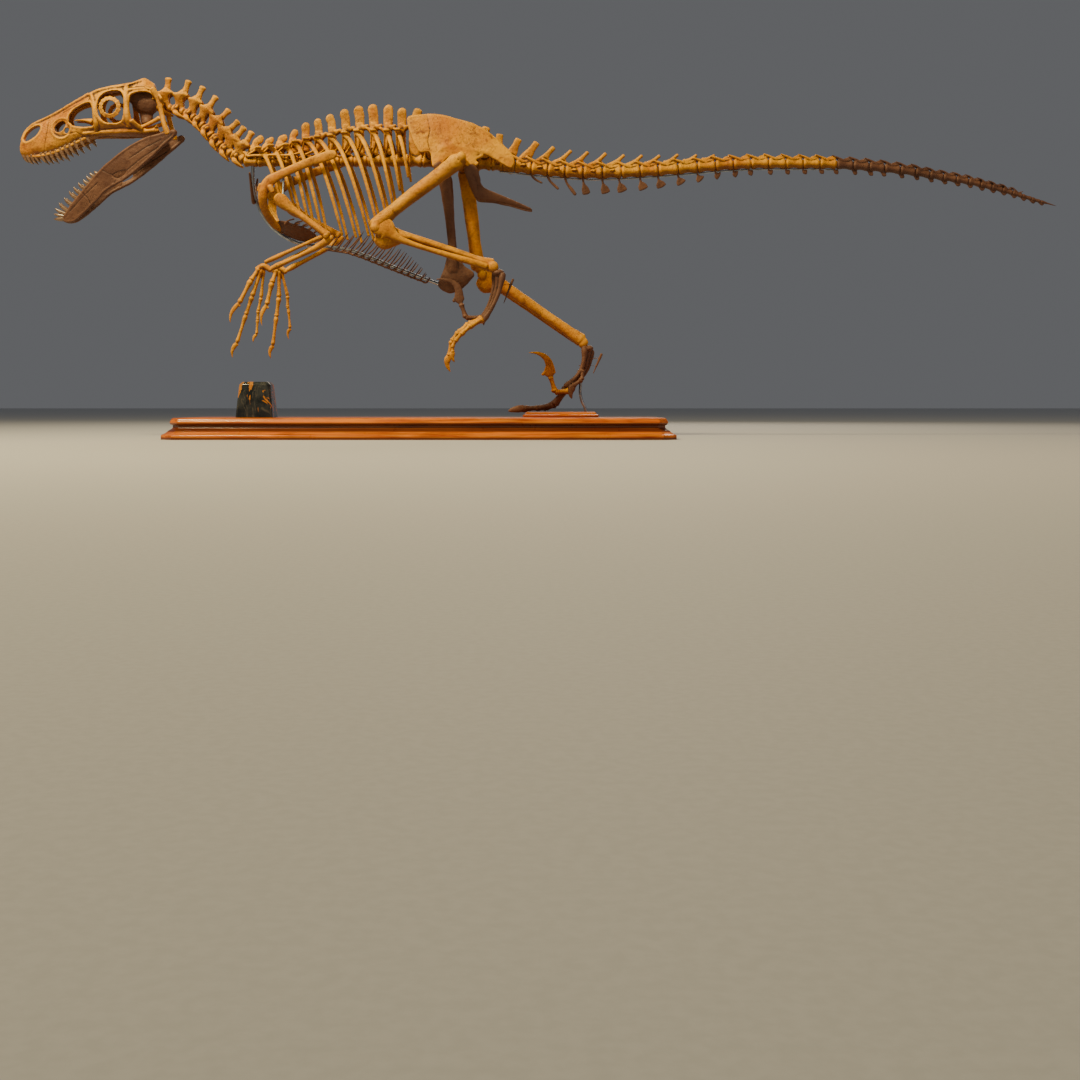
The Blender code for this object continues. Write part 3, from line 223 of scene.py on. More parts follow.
def clipped_block(name, centre, floor_level, levels, material, node, edge):
    """A block from levels (height, half length, half depth, corner clip), its edges rounded.

    The edge is its rounding's width and least angle, and the angle that stays sharp.
    """
    rings = []
    for level, half_long, half_deep, clip in levels:
        for sx, sy in ((-1, -1), (1, -1), (1, 1), (-1, 1)):
            pair = [(sx * (half_long - clip), sy * half_deep), (sx * half_long, sy * (half_deep - clip))]
            rings += [(centre[0] + x, centre[1] + y, floor_level + level)
                      for x, y in (pair if sx * sy < 0 else pair[::-1])]
    last = 8 * len(levels) - 8
    caps = [list(range(8))[::-1], list(range(last, last + 8))]
    mesh = bpy.data.meshes.new(name)
    mesh.from_pydata((np.array(rings) / 1000).tolist(), [], ring_quads(len(levels), 8).tolist() + caps)
    width, least, sharp = edge
    rounding = shown(name, mesh, material, [node], sharp).modifiers.new("soft_edges", "BEVEL")
    rounding.width = width
    rounding.segments = 3
    rounding.limit_method = "ANGLE"
    rounding.angle_limit = math.radians(least)


def moulded_board(name, centre, size, floor_level, moulding, clip, node):
    """A board: for each level of its moulding (height, inset), the clipped plan drawn in."""
    levels = [(level, size[0] / 2 - inset, size[1] / 2 - inset, clip - 0.586 * inset)
              for level, inset in moulding]
    clipped_block(name, centre, floor_level, levels, mahogany, node, (0.0012, 20, 35))


def eased(start, end, steps, bulge):
    """Levels between two (height, inset) pairs along a curve that swells by bulge."""
    t = np.linspace(0, 1, steps)
    height = start[0] + (end[0] - start[0]) * t
    inset = start[1] + (end[1] - start[1]) * t - bulge * np.sin(math.pi * t)
    return list(zip(height.tolist(), inset.tolist()))


BASE_TOP = 62.3
mahogany = varnished_wood("mahogany")
board_profile = ([(0, 0), (11.5, 0)] + eased((13, 0.6), (26, 20), 8, -2.2)
                 + eased((27.5, 23), (39, 31), 9, -3.5) + eased((41, 32), (43.5, 26), 4, 0.5)
                 + eased((45, 24.6), (53, 24.4), 5, 0.9) + eased((54.5, 26), (62, 32), 5, 1.4))
moulded_board("base_board", (0, 0), (1476, 500), 0, board_profile, 40, "stand_base")
plinth_profile = ([(0, 4), (2.5, 0.6)] + eased((3.4, 0), (6.6, 0), 3, 0.4)
                  + eased((7.6, 2), (10, 6), 4, -0.6) + eased((11, 7), (15.7, 12), 5, 0.8))
moulded_board("foot_plinth", (410, 95), (230, 130), BASE_TOP, plinth_profile, 8, "stand_plinth")

floor_finish = Finish("studio_floor", roughness=0.75)
grit = floor_finish.noise(240, 4)
floor_finish.wear(floor_finish.mixed(grit.ramp(0.3, 0.7), (0.56, 0.56, 0.55), (0.6, 0.6, 0.59)),
                  height=grit, depth=0.0002, strength=0.15)
floor_mesh = bpy.data.meshes.new("floor")
floor_mesh.from_pydata([(-40, -40, 0), (40, -40, 0), (40, 40, 0), (-40, 40, 0)], [], [(0, 1, 2, 3)])
floor_mesh.materials.append(floor_finish.material)
floor = bpy.data.objects.new("floor", floor_mesh)
room.collection.objects.link(floor)


# The stone: a tapered block of polished dark stone with gold-brown veins, set on the base
# below the left hand, with ground edges. The veins run through it like bent sheets.
dark_stone = Finish("veined_stone", roughness=0.12, Coat_Weight=0.5, Coat_Roughness=0.05)
cloud = dark_stone.noise(26, 5, 0.6)
sheet = dark_stone.noise(9, 4, 0.65, dark_stone.stretched((1.5, 1.2, 0.6), (0.2, 0.45, 0.3)), 0.8)
vein = sheet.ramp(0.53, 0.55) - sheet.ramp(0.58, 0.62)
hair = sheet.ramp(0.40, 0.41) - sheet.ramp(0.42, 0.43)
tint = dark_stone.mixed(cloud.ramp(0.3, 0.7), (0.010, 0.013, 0.013), (0.045, 0.052, 0.05))
tint = dark_stone.mixed(vein, tint, (0.5, 0.2, 0.02))
tint = dark_stone.mixed(hair * 0.3, tint, (0.16, 0.15, 0.12))
dark_stone.wear(tint, cloud * 0.1 + 0.08)


clipped_block("polished_stone", (-499, -20), BASE_TOP,
              ((0, 55, 46, 3), (53, 50.5, 42, 6), (98, 46, 38, 9), (106, 38, 30, 6)),
              dark_stone.material, "stand_block", (0.0013, 12, 30))


# Bone: every bone is a set of closed skins run together into one by a fine voxel remesh,
# then softened and roughened. How far each point stands out of its surroundings is kept
# as an attribute, so that hollows are darkened with painted shade and ridges are made paler.
def bone_finish(name, pale, body, dark, stain, underside_shade):
    """Fossil bone: broad stains, blotches, specks, pits and fine cracks over a warm ground.

    Faces turned down take a painted shade colour: the share is one less the normal's rise,
    broken up by the blotches.
    """
    bone = Finish(name, roughness=0.55, Specular_IOR_Level=0.3)
    relief = Number(bone, bone.add("Attribute", {"attribute_name": "relief"}, {}).outputs["Fac"])
    broad = bone.noise(7, 3, 0.5, bend=0.4)
    blotch = bone.noise(30, 6, 0.66, bend=0.6)
    speck = bone.noise(150, 5, 0.6)
    pits = (1.0 - bone.cells(330).ramp(0.12, 0.32)) * bone.noise(40, 3).ramp(0.5, 0.66)
    edge = bone.cells(21, "DISTANCE_TO_EDGE", bone.add(
        "VectorMath", {"operation": "ADD"},
        {0: bone.place, 1: bone.add("TexNoise", {}, {"Vector": bone.place, "Scale": 26.0,
                                                     "Detail": 3.0}).outputs["Color"]}).outputs[0])
    cracks = (1.0 - edge.ramp(0.004, 0.016)) * bone.noise(11, 2).ramp(0.5, 0.62)
    facing = bone.add("SeparateXYZ", {}, {0: bone.add("NewGeometry", {}, {}).outputs["Normal"]})
    under = (Number(bone, facing.outputs[2]) * -1.0 + blotch * 0.5).ramp(-0.2, 0.85)
    colour = bone.mixed(broad.ramp(0.34, 0.66), body, pale)
    colour = bone.mixed(blotch.ramp(0.52, 0.72) * 0.95, colour, stain)
    colour = bone.mixed(speck.ramp(0.5, 0.72) * 0.55, colour, stain)
    colour = bone.mixed(relief.ramp(0.08, 0.75) * 0.6, colour, pale)
    # Painted shade: hollows are darkened.
    colour = bone.mixed((relief * -1.0).ramp(0.03, 0.5) * 0.9, colour, dark)
    # Painted shade: faces turned down are darkened.
    colour = bone.mixed(under * 0.86, colour, underside_shade)
    colour = bone.mixed(pits * 0.85, colour, dark)
    colour = bone.mixed(cracks * 0.8, colour, dark)
    height = speck * 0.5 + blotch * 0.5 - pits * 0.8 - cracks * 1.0
    return bone.wear(colour, speck * 0.25 + 0.42, height, 0.0026, 0.8)


# The second finish below is a darker, greyer copy of the bone: painted shade for the bones that lie in shadow.
golden_bone = bone_finish("golden_bone", (0.92, 0.44, 0.012), (0.62, 0.21, 0.008),
                          (0.04, 0.015, 0.007), (0.24, 0.06, 0.008), (0.12, 0.036, 0.014))
shaded_bone = bone_finish("shaded_bone", (0.20, 0.095, 0.055), (0.105, 0.045, 0.028),
                         (0.022, 0.011, 0.008), (0.09, 0.032, 0.018), (0.075, 0.03, 0.02))
GOLD = (golden_bone, "bone")
SHADED_COPY = (shaded_bone, "dark_bone")


def curve_through(rows, count):
    """Rows joined by a smooth cubic and sampled at count even steps along its length."""
    rows = np.asarray(rows, float)
    gaps = np.maximum(np.linalg.norm(np.diff(rows[:, :3], axis=0), axis=1), 1e-6)
    t = np.concatenate([[0], np.cumsum(gaps)])
    slopes = np.gradient(rows, t, axis=0)
    u = np.linspace(0, t[-1], count)
    k = np.clip(np.searchsorted(t, u, side="right") - 1, 0, len(t) - 2)
    h = (t[k + 1] - t[k])[:, None]
    s = (u - t[k])[:, None] / h
    made = ((2 * s ** 3 - 3 * s ** 2 + 1) * rows[k] + (s ** 3 - 2 * s ** 2 + s) * h * slopes[k]
            + (3 * s ** 2 - 2 * s ** 3) * rows[k + 1] + (s ** 3 - s ** 2) * h * slopes[k + 1])
    made[:, 3:] = np.maximum(made[:, 3:], 0.25)
    return made


def tube(rows, count=None, around=14, across=(0, 1, 0), power=2.0, blunt=0.7):
    """A skin carried along rows (x, y, z, half across, half deep), with domed ends.

    At angle a the section stands cos(a) half widths across and sin(a) half depths deep,
    squared up where power is over 2; the ends close like an egg, blunt radii long.
    """
    line = curve_through(rows, count or 5 * len(rows))
    centre = line[:, :3]
    heading = np.gradient(centre, axis=0)
    heading /= np.linalg.norm(heading, axis=1)[:, None]
    dome = np.radians([75, 50, 25])
    first = [centre[0] - heading[0] * blunt * line[0, 3:].min() * math.sin(a) for a in dome]
    last = [centre[-1] + heading[-1] * blunt * line[-1, 3:].min() * math.sin(a) for a in dome[::-1]]
    centre = np.concatenate([first, centre, last])
    half = np.concatenate([line[0, 3:] * np.cos(dome)[:, None], line[:, 3:],
                           line[-1, 3:] * np.cos(dome[::-1])[:, None]])
    heading = np.concatenate([[heading[0]] * 3, heading, [heading[-1]] * 3])
    wide = np.asarray(across, float) - heading * (heading @ np.asarray(across, float))[:, None]
    wide /= np.linalg.norm(wide, axis=1)[:, None]
    deep = np.cross(heading, wide)
    a = 2 * math.pi * np.arange(around) / around
    c = np.sign(np.cos(a)) * np.abs(np.cos(a)) ** (2 / power)
    s = np.sign(np.sin(a)) * np.abs(np.sin(a)) ** (2 / power)
    grid = (centre[:, None] + wide[:, None] * (half[:, 0, None] * c)[..., None]
            + deep[:, None] * (half[:, 1, None] * s)[..., None])
    reach = blunt * half[3].min(), blunt * half[-4].min()
    poles = [line[0, :3] - heading[0] * reach[0], line[-1, :3] + heading[-1] * reach[1]]
    return closed_grid(grid, poles)


def closed_grid(grid, poles):
    """Points and faces of rings joined in order, each end drawn to its pole."""
    count, around = grid.shape[:2]
    spot = np.arange(around)
    after = (spot + 1) % around
    top = (count - 1) * around
    start = np.stack([after, spot, np.full(around, count * around)], axis=-1)
    end = np.stack([top + spot, top + after, np.full(around, count * around + 1)], axis=-1)
    return (np.concatenate([grid.reshape(-1, 3), np.array(poles)]), ring_quads(count, around),
            np.concatenate([start, end]))


def ball(x, y, z, *half):
    """An egg: latitude and longitude on three half sizes."""
    lat = np.radians(np.linspace(-72, 72, 7))[:, None]
    lon = (2 * math.pi * np.arange(14) / 14)[None, :]
    grid = np.stack([np.cos(lat) * np.cos(lon), np.cos(lat) * np.sin(lon),
                     np.sin(lat) * np.ones_like(lon)], axis=-1) * half + (x, y, z)
    return closed_grid(grid, [(x, y, z - half[2]), (x, y, z + half[2])])


def rounded_loop(points, count, passes=3):
    """A closed loop of corners (x, z) walked at even steps, each step then drawn to the
    mean of itself and its two neighbours, several times over."""
    points = np.asarray(points, float)
    closed = np.concatenate([points, points[:1]])
    t = np.concatenate([[0], np.cumsum(np.linalg.norm(np.diff(closed, axis=0), axis=1))])
    u = np.linspace(0, t[-1], count, endpoint=False)
    loop = np.column_stack([np.interp(u, t, closed[:, 0]), np.interp(u, t, closed[:, 1])])
    for _ in range(passes):
        loop = (np.roll(loop, 1, axis=0) + 2 * loop + np.roll(loop, -1, axis=0)) / 4
    return loop


def distance_to(points, path, closed=False):
    """How far each point (x, z) is from a path of straight steps."""
    path = np.asarray(path, float)
    start = path if closed else path[:-1]
    step = (np.roll(path, -1, axis=0) if closed else path[1:])[:len(start)] - start
    best = np.full(len(points), 1e9)
    for a, d in zip(start, step):
        share = np.clip(((points - a) @ d) / max(d @ d, 1e-9), 0, 1)
        best = np.minimum(best, np.linalg.norm(points - a - share[:, None] * d, axis=1))
    return best


def read(items, key, width=3, kind=float):
    """One property of all the items of a mesh, a row to each item."""
    flat = np.empty(len(items) * width, kind)
    items.foreach_get(key, flat)
    return flat.reshape(-1, width)


def mesh_arrays(mesh):
    """A mesh's points in millimetres and its triangles."""
    mesh.calc_loop_triangles()
    return read(mesh.vertices, "co") * 1000, read(mesh.loop_triangles, "vertices", 3, int)


def evaluated(thing):
    """The mesh that an object's modifiers give; the object itself is taken away."""
    graph = bpy.context.evaluated_depsgraph_get()
    made = bpy.data.meshes.new_from_object(thing.evaluated_get(graph))
    bpy.data.objects.remove(thing, do_unlink=True)
    return made


def remeshed(mesh, voxel, soften=0, cuts=()):
    """A mesh cut by tools, run through a voxel remesh and a number of smoothing passes."""
    thing = bpy.data.objects.new("cast", mesh)
    room.collection.objects.link(thing)
    for tool in cuts:
        cutter = thing.modifiers.new("cut", "BOOLEAN")
        cutter.operation = "DIFFERENCE"
        cutter.solver = "EXACT"
        cutter.object = tool
    grid = thing.modifiers.new("grid", "REMESH")
    grid.mode = "VOXEL"
    grid.voxel_size = voxel / 1000
    if soften:
        soft = thing.modifiers.new("soft", "SMOOTH")
        soft.factor = 0.5
        soft.iterations = soften
    return evaluated(thing)


def slab(outline, half_mid, half_edge, lean, soft=16.0, holes=(), count=110):
    """A plank of bone: full thickness in its middle, thinner towards its edges.

    The half thickness at a point is half_edge, plus what is left up to half_mid as the
    distance to the outline grows past soft; lean(x, z) sets the plank's middle in y.
    """
    loops = [rounded_loop(outline, count)] + [rounded_loop(hole, 40) for hole in holes]
    curve = bpy.data.curves.new("slab", "CURVE")
    curve.dimensions = "2D"
    curve.fill_mode = "BOTH"
    curve.extrude = 0.01
    for loop in loops:
        line = curve.splines.new("POLY")
        line.points.add(len(loop) - 1)
        line.use_cyclic_u = True
        flat = np.column_stack([loop / 1000, np.zeros(len(loop)), np.ones(len(loop))])
        line.points.foreach_set("co", flat.ravel())
    guide = bpy.data.objects.new("slab", curve)
    room.collection.objects.link(guide)
    points, faces = mesh_arrays(remeshed(evaluated(guide), 2.6, 2))
    plane = points[:, :2]
    depth = np.minimum.reduce([distance_to(plane, loop, True) for loop in loops])
    swell = half_edge + (half_mid - half_edge) * (1 - np.exp(-depth / soft))
    side = np.clip(points[:, 2] / 10, -1, 1)
    y = lean(plane[:, 0], plane[:, 1]) + side * swell
    return np.column_stack([plane[:, 0], y, plane[:, 1]]), np.empty((0, 4), int), faces


def clouds(name, size, depth):
    """A cloud pattern that a displacement reads."""
    pattern = bpy.data.textures.new(name, "CLOUDS")
    pattern.noise_scale = size
    pattern.noise_depth = depth
    return pattern


LUMPS = clouds("lumps", 0.032, 2)
GRAIN = clouds("grain", 0.008, 2)


def joined(shells, name):
    """One mesh in metres from closed skins in millimetres."""
    points, faces, shift = [], [], 0
    for spots, quads, threes in shells:
        points.append(spots)
        faces += (quads + shift).tolist() + (threes + shift).tolist()
        shift += len(spots)
    mesh = bpy.data.meshes.new(name)
    mesh.from_pydata((np.concatenate(points) / 1000).tolist(), [], faces)
    return mesh


RELIEF_PASSES = 14
RELIEF_RANGE = 1.4


def bone(name, shells, nodes, look, voxel=1.9, soften=3, lumps=1.2, grain=0.5, carve=None):
    """A bone cast from its skins: run together, carved, roughened and dressed.

    Its relief at a point is how far the point stands out, along its normal, from the place
    that many rounds of taking the mean of the neighbours bring it to.
    """
    mesh = remeshed(joined(shells, name), voxel, soften)
    if carve is not None:
        points = read(mesh.vertices, "co")
        points = points + read(mesh.vertices, "normal") * (carve(points * 1000) / 1000)[:, None]
        mesh.vertices.foreach_set("co", points.ravel())
    thing = bpy.data.objects.new("rough", mesh)
    room.collection.objects.link(thing)
    for pattern, depth in ((LUMPS, lumps), (GRAIN, grain)):
        if depth:
            rough = thing.modifiers.new("rough", "DISPLACE")
            rough.texture = pattern
            rough.texture_coords = "LOCAL"
            rough.strength = depth / 1000
            rough.mid_level = 0.5
    made = evaluated(thing)
    made.name = name
    points, normals = read(made.vertices, "co"), read(made.vertices, "normal")
    count = len(points)
    a, b = read(made.edges, "vertices", 2, int).T
    share = np.maximum(np.bincount(a, minlength=count) + np.bincount(b, minlength=count), 1)
    calm = points
    for _ in range(RELIEF_PASSES):
        calm = np.stack([np.bincount(a, calm[b, k], count) + np.bincount(b, calm[a, k], count)
                         for k in range(3)], axis=1) / share[:, None]
    relief = np.clip(((points - calm) * normals).sum(1) * 1000 / RELIEF_RANGE, -1, 1)
    made.attributes.new("relief", "FLOAT", "POINT").data.foreach_set("value", relief)
    shown(name, made, look[0], nodes)


random = np.random.default_rng(7)
LEFT, RIGHT = -1, 1
SIDES = ((LEFT, "left"), (RIGHT, "right"))


# The skull: a light box of bone with a window before the eye, a round orbit and a tall
# window behind it, which shows the braincase, darkened as painted shade. It is drawn in its
# own frame, forward and up from the jaw joint: a skin over stations, hollowed out, its windows cut through.
def tilted_frame(tilt, x_start, z_start):
    """Two ways between a tilted frame and the model: out to a place, and back again."""
    c, s = math.cos(tilt), math.sin(tilt)

    def place(forward, up, side=0.0):
        return (x_start - forward * c - up * s, side, z_start - forward * s + up * c)

    def back(x, z):
        return ((x_start - x) * c + (z_start - z) * s, (x_start - x) * s - (z_start - z) * c)

    return place, back


def at(place, rows, side=1):
    """Tube rows from rows (forward, up, aside, half across, half deep) in a tilted frame."""
    return [(*place(forward, up, side * aside), *size) for forward, up, aside, *size in rows]


skull_spot, skull_back = tilted_frame(math.radians(8.4), -768, 910)
SKULL_STATIONS = np.array([
    (445, 6, 30, 8, 5), (440, -1, 44, 13, 8), (430, -7, 60, 17, 10), (412, -9, 80, 20, 11),
    (389, -9, 92, 22, 12), (360, -9, 101, 25, 12), (331, -5, 111, 28, 13), (300, 2, 122, 33, 15),
    (267, 11, 136, 39, 18), (237, 19, 147, 45, 23), (207, 26, 155, 51, 29), (185, 25, 159, 55, 33),
    (169, 23, 162, 58, 37), (150, 20, 163, 60, 40), (130, 16, 163, 61, 40), (107, 13, 163, 62, 38),
    (84, 10, 163, 62, 36), (62, 8, 171, 61, 32), (42, 6, 180, 59, 24), (18, 2, 158, 56, 20)])


def skull_shell(stations, shrink):
    """The skull's skin: at each station ten corners, rounded into a loop by taking means.

    A station is its place forward, floor, roof, half width low down and half width high up.
    """
    even = np.linspace(stations[0, 0], stations[-1, 0], 70)
    rows = [np.interp(even, stations[::-1, 0], stations[::-1, k]) for k in range(1, 5)]
    floor, roof, low, high = rows[0] + shrink, rows[1] - shrink, rows[2] - shrink, rows[3] - shrink
    low, high = np.maximum(low, 2), np.maximum(high, 1.5)
    rise = roof - floor
    corners = [(0.66 * low, floor), (low, floor + 0.2 * rise),
               (0.82 * low + 0.18 * high, floor + 0.55 * rise),
               (high * 1.15, floor + 0.86 * rise), (high * 0.62, roof), (0 * low, roof + 0.02 * rise)]
    loop = corners + [(-w, h) for w, h in corners[-2::-1]]
    spun = np.stack([rounded_loop(ring, 48, 5) for ring in np.array(loop).transpose(2, 0, 1)])
    grid = np.stack(skull_spot(even[:, None], spun[..., 1], spun[..., 0]), axis=-1)
    return closed_grid(grid, [grid[0].mean(axis=0), grid[-1].mean(axis=0)])


def cheek(forward, up):
    """Half width of the skull's skin at a place in its own frame."""
    floor, roof, low, high = (np.interp(forward, SKULL_STATIONS[::-1, 0], SKULL_STATIONS[::-1, k])
                              for k in range(1, 5))
    share = (up - floor) / (roof - floor)
    return float(np.interp(share, (0, 0.2, 0.55, 0.86, 1),
                           (0.66 * low, low, 0.82 * low + 0.18 * high, 1.15 * high, 0.62 * high)))


def bent_ellipse(middle, half_long, half_high, tilt=0.0, count=20):
    """A tilted ellipse of corners."""
    a = 2 * math.pi * np.arange(count) / count
    x, z = half_long * np.cos(a), half_high * np.sin(a)
    return np.column_stack([middle[0] + x * math.cos(tilt) - z * math.sin(tilt),
                            middle[1] + x * math.sin(tilt) + z * math.cos(tilt)])


SKULL_WINDOWS = [
    bent_ellipse((400, 60), 33, 14, math.radians(-33)),
    bent_ellipse((311, 66), 18, 12, math.radians(-32), 14),
    bent_ellipse((291, 50), 7, 5, math.radians(-60), 10),
    np.array(((285, 76), (279, 97), (262, 111), (235, 121), (208, 123), (203, 101), (204, 66),
              (206, 47), (245, 52), (272, 62))),
    np.array(((188, 106), (180, 130), (159, 145), (133, 147), (113, 142), (105, 123), (107, 85),
              (115, 50), (134, 44), (171, 52), (188, 77))),
    np.array(((86, 126), (57, 131), (28, 126), (15, 104), (9, 70), (12, 30), (28, 17), (49, 16),
              (70, 23), (88, 39), (92, 81))),
]


def prism(points):
    """A tool that cuts a window through both cheeks, its outline in the skull's frame."""
    loop = rounded_loop(points, 56)
    ring = np.column_stack(skull_spot(loop[:, 0], loop[:, 1], np.zeros(56)))
    grid = np.stack([ring + (0, -100, 0), ring + (0, 100, 0)])
    tool = bpy.data.objects.new("window", joined([closed_grid(grid, grid.mean(axis=1))], "window"))
    room.collection.objects.link(tool)
    return tool


inner = np.vstack([SKULL_STATIONS[SKULL_STATIONS[:, 0] < 335], (-30, 2, 112, 56, 18)])
hollow_tool = bpy.data.objects.new("hollow", joined([skull_shell(inner, 7.5)], "hollow"))
room.collection.objects.link(hollow_tool)
tools = [hollow_tool] + [prism(window) for window in SKULL_WINDOWS]
casing = remeshed(joined([skull_shell(SKULL_STATIONS, 0)], "casing"), 2.0, 0, tools)
spots, threes = mesh_arrays(casing)
skull_shells = [(spots, np.empty((0, 4), int), threes)]
for tool in tools:
    bpy.data.objects.remove(tool, do_unlink=True)


def on_cheek(rows, side, sink=2.0):
    """A strut of bone on the skull's skin from rows (forward, up, half wide, half thick)."""
    return [(*skull_spot(f, u, side * (cheek(f, u) - sink)), thick, wide) for f, u, wide, thick in rows]


for side in (LEFT, RIGHT):
    struts = (
        ((440, 0, 4, 3), (405, -8, 5, 4), (350, -7, 6, 4), (290, 6, 6, 4), (235, 21, 6, 5)),
        ((240, 33, 6, 5), (190, 30, 8, 5), (130, 23, 9, 5), (95, 19, 8, 5), (60, 11, 6, 5), (20, 9, 6, 5)),
        ((205, 148, 6, 6), (197, 122, 5, 5), (196, 80, 5, 5), (197, 46, 6, 5), (205, 32, 6, 4)),
        ((96, 154, 8, 6), (98, 124, 7, 6), (99, 84, 6, 5), (101, 50, 7, 5), (100, 30, 8, 5)),
        ((212, 148, 5, 5), (186, 155, 6, 6), (150, 158, 5, 6), (110, 158, 6, 6), (84, 160, 6, 6)),
        ((88, 140, 5, 5), (60, 140, 5, 5), (36, 138, 5, 5), (14, 130, 6, 6)),
        ((436, 46, 3, 3), (420, 72, 4, 3), (396, 88, 4, 4), (360, 99, 4, 4), (331, 108, 4, 4),
         (267, 132, 5, 4), (215, 150, 6, 4)),
        ((88, 44, 7, 5), (78, 32, 6, 5), (66, 20, 6, 5)),
    )
    for rows in struts:
        skull_shells.append(tube(on_cheek(rows, side), 26, 12))
    for rows, shape in (
            (((16, 132, 50, 6, 9), (4, 100, 47, 5, 8), (0, 56, 46, 5, 7), (-4, 16, 48, 8, 8),
              (-9, -7, 49, 7, 9)), (24, 14)),
            (((26, 122, 8, 8, 14), (6, 112, 34, 6, 13), (-8, 94, 54, 4, 9)), (16, 14, (1, 0, 0))),
            (((268, 80, 12, 3, 2), (240, 76, 16, 5, 4), (216, 68, 22, 6, 9)), (14, 12)),
            (((230, 26, 16, 6, 4), (140, 24, 22, 5, 4), (60, 32, 22, 4, 6), (10, 44, 40, 4, 7)), (24, 12))):
        skull_shells.append(tube(at(skull_spot, rows, side), *shape))
brain_shells = [
    tube(at(skull_spot, ((112, 140, 0, 20, 14), (86, 128, 0, 24, 22), (54, 108, 0, 25, 40),
                         (24, 102, 0, 20, 33), (8, 98, 0, 11, 14))), 26, 22),
    tube(at(skull_spot, ((62, 104, 0, 14, 14), (56, 70, 0, 10, 20), (58, 44, 0, 14, 18))), 16, 16),
    ball(*skull_spot(2, 90), 9, 9, 8)]
skull_shells.append(tube(at(skull_spot, ((214, 151, 0, 20, 5), (150, 156, 0, 30, 5), (90, 159, 0, 34, 6),
                                         (46, 170, 0, 20, 8))), 24, 16))


def skull_carving(points):
    """Raised rims round the windows and shallow seams between the skull's plates, in mm."""
    plane = np.column_stack(skull_back(points[:, 0], points[:, 2]))
    lift = np.zeros(len(points))
    for window in SKULL_WINDOWS:
        gap = distance_to(plane, rounded_loop(window, 48), True)
        lift += 1.0 * np.exp(-((gap - 4) / 4) ** 2)
    away = np.linalg.norm(plane - (307, 60), axis=1)
    lift += 1.4 * np.exp(-((away - 31) / 3) ** 2) - 3.0 / (1 + np.exp((away - 27) / 1.6))
    for seam in (((372, -8), (362, 26), (352, 60), (344, 92)), ((250, 30), (262, 40), (300, 38)),
                 ((232, 26), (180, 34), (118, 30)), ((206, 146), (214, 128), (240, 126), (300, 108)),
                 ((150, 160), (148, 148)), ((118, 44), (96, 24)), ((66, 148), (60, 168)),
                 ((30, 132), (44, 146), (70, 150))):
        lift -= 1.1 * np.exp(-(distance_to(plane, seam) / 1.6) ** 2)
    return lift


# The braincase takes the darker bone: painted shade inside the skull.
bone("braincase", brain_shells, ["skull"], SHADED_COPY, voxel=2.2, soften=3, lumps=2.4, grain=1.0)
bone("skull_bone", skull_shells, ["skull"], GOLD, voxel=2.0, soften=2, lumps=1.4,
     grain=0.6, carve=skull_carving)


# Teeth: backward-curved blades of enamel in the sockets of both jaws, each with its own
# length and a little lean, streaked along its length.
tooth_finish = Finish("enamel", roughness=0.28, Coat_Weight=0.25, Coat_Roughness=0.2)
band = tooth_finish.noise(90, 4, 0.6, tooth_finish.stretched((1, 1, 3)))
tone = tooth_finish.mixed(band.ramp(0.35, 0.7), (0.13, 0.068, 0.04), (0.24, 0.145, 0.085))
tooth_finish.wear(tone, band * 0.2 + 0.2, band, 0.0005, 0.3)


def fang(root, tip, girth, bend):
    """A curved tooth: an oval section that shrinks along a bow from root to tip."""
    root, tip = np.array(root, float), np.array(tip, float)
    t = np.array([0, 0.25, 0.5, 0.75, 1.0])
    bow = np.outer(np.sin(math.pi * t) * 0.9, np.array(bend, float))
    line = root + np.outer(t, tip - root) + bow
    size = np.array([1, 0.95, 0.78, 0.5, 0.12]) * girth
    return tube([(*spot, 0.62 * g, g) for spot, g in zip(line, size)], 9, 8, blunt=0.5)


def fangs(name, shells, nodes):
    """One dressed mesh of a row of teeth."""
    shown(name, joined(shells, name), tooth_finish.material, nodes)


UPPER_TEETH = ((434, 15), (423, 18), (411, 19), (400, 17), (381, 24), (367, 22), (352, 27), (336, 24),
               (320, 27), (305, 23), (290, 25), (273, 22), (253, 21), (233, 16))
upper = []
for side in (LEFT, RIGHT):
    for k, (forward, length) in enumerate(UPPER_TEETH):
        floor_up = float(np.interp(forward, [212, 267, 300, 331, 360, 430, 440],
                                   [26, 11, 2, -5, -9, -8, -2]))
        wide = cheek(forward, floor_up + 6) - 4
        length *= random.uniform(0.96, 1.16)
        girth = 7.0 if k > 3 else 6.0
        root = skull_spot(forward, floor_up + 7, side * wide)
        tip = skull_spot(forward - 0.42 * length, floor_up - length, side * (wide + 0.5))
        upper.append(fang(root, tip, girth, (-0.16 * length, 0, -0.02 * length)))
fangs("upper_teeth", upper, ["skull"])


# Eye rings: a ring of thin overlapping plates stands in each orbit.
def eye_ring(side):
    """Fourteen plates round the eye, each a little tilted box with rounded ends."""
    shells = []
    for k in range(14):
        a = 2 * math.pi * k / 14
        inner = skull_spot(150 + 20.5 * math.cos(a), 96 + 20.5 * math.sin(a), side * 50)
        outer = skull_spot(150 + 32 * math.cos(a + 0.1), 96 + 32 * math.sin(a + 0.1), side * 47)
        shells.append(tube([(*inner, 1.5, 5.0), (*outer, 1.6, 7.6)], 8, 12, power=3, blunt=0.3))
    return shells


for side, word in SIDES:
    bone("eye_ring_" + word, eye_ring(side), ["sclerotic_ring_" + word], GOLD,
         voxel=1.3, soften=1, lumps=0, grain=0.3)


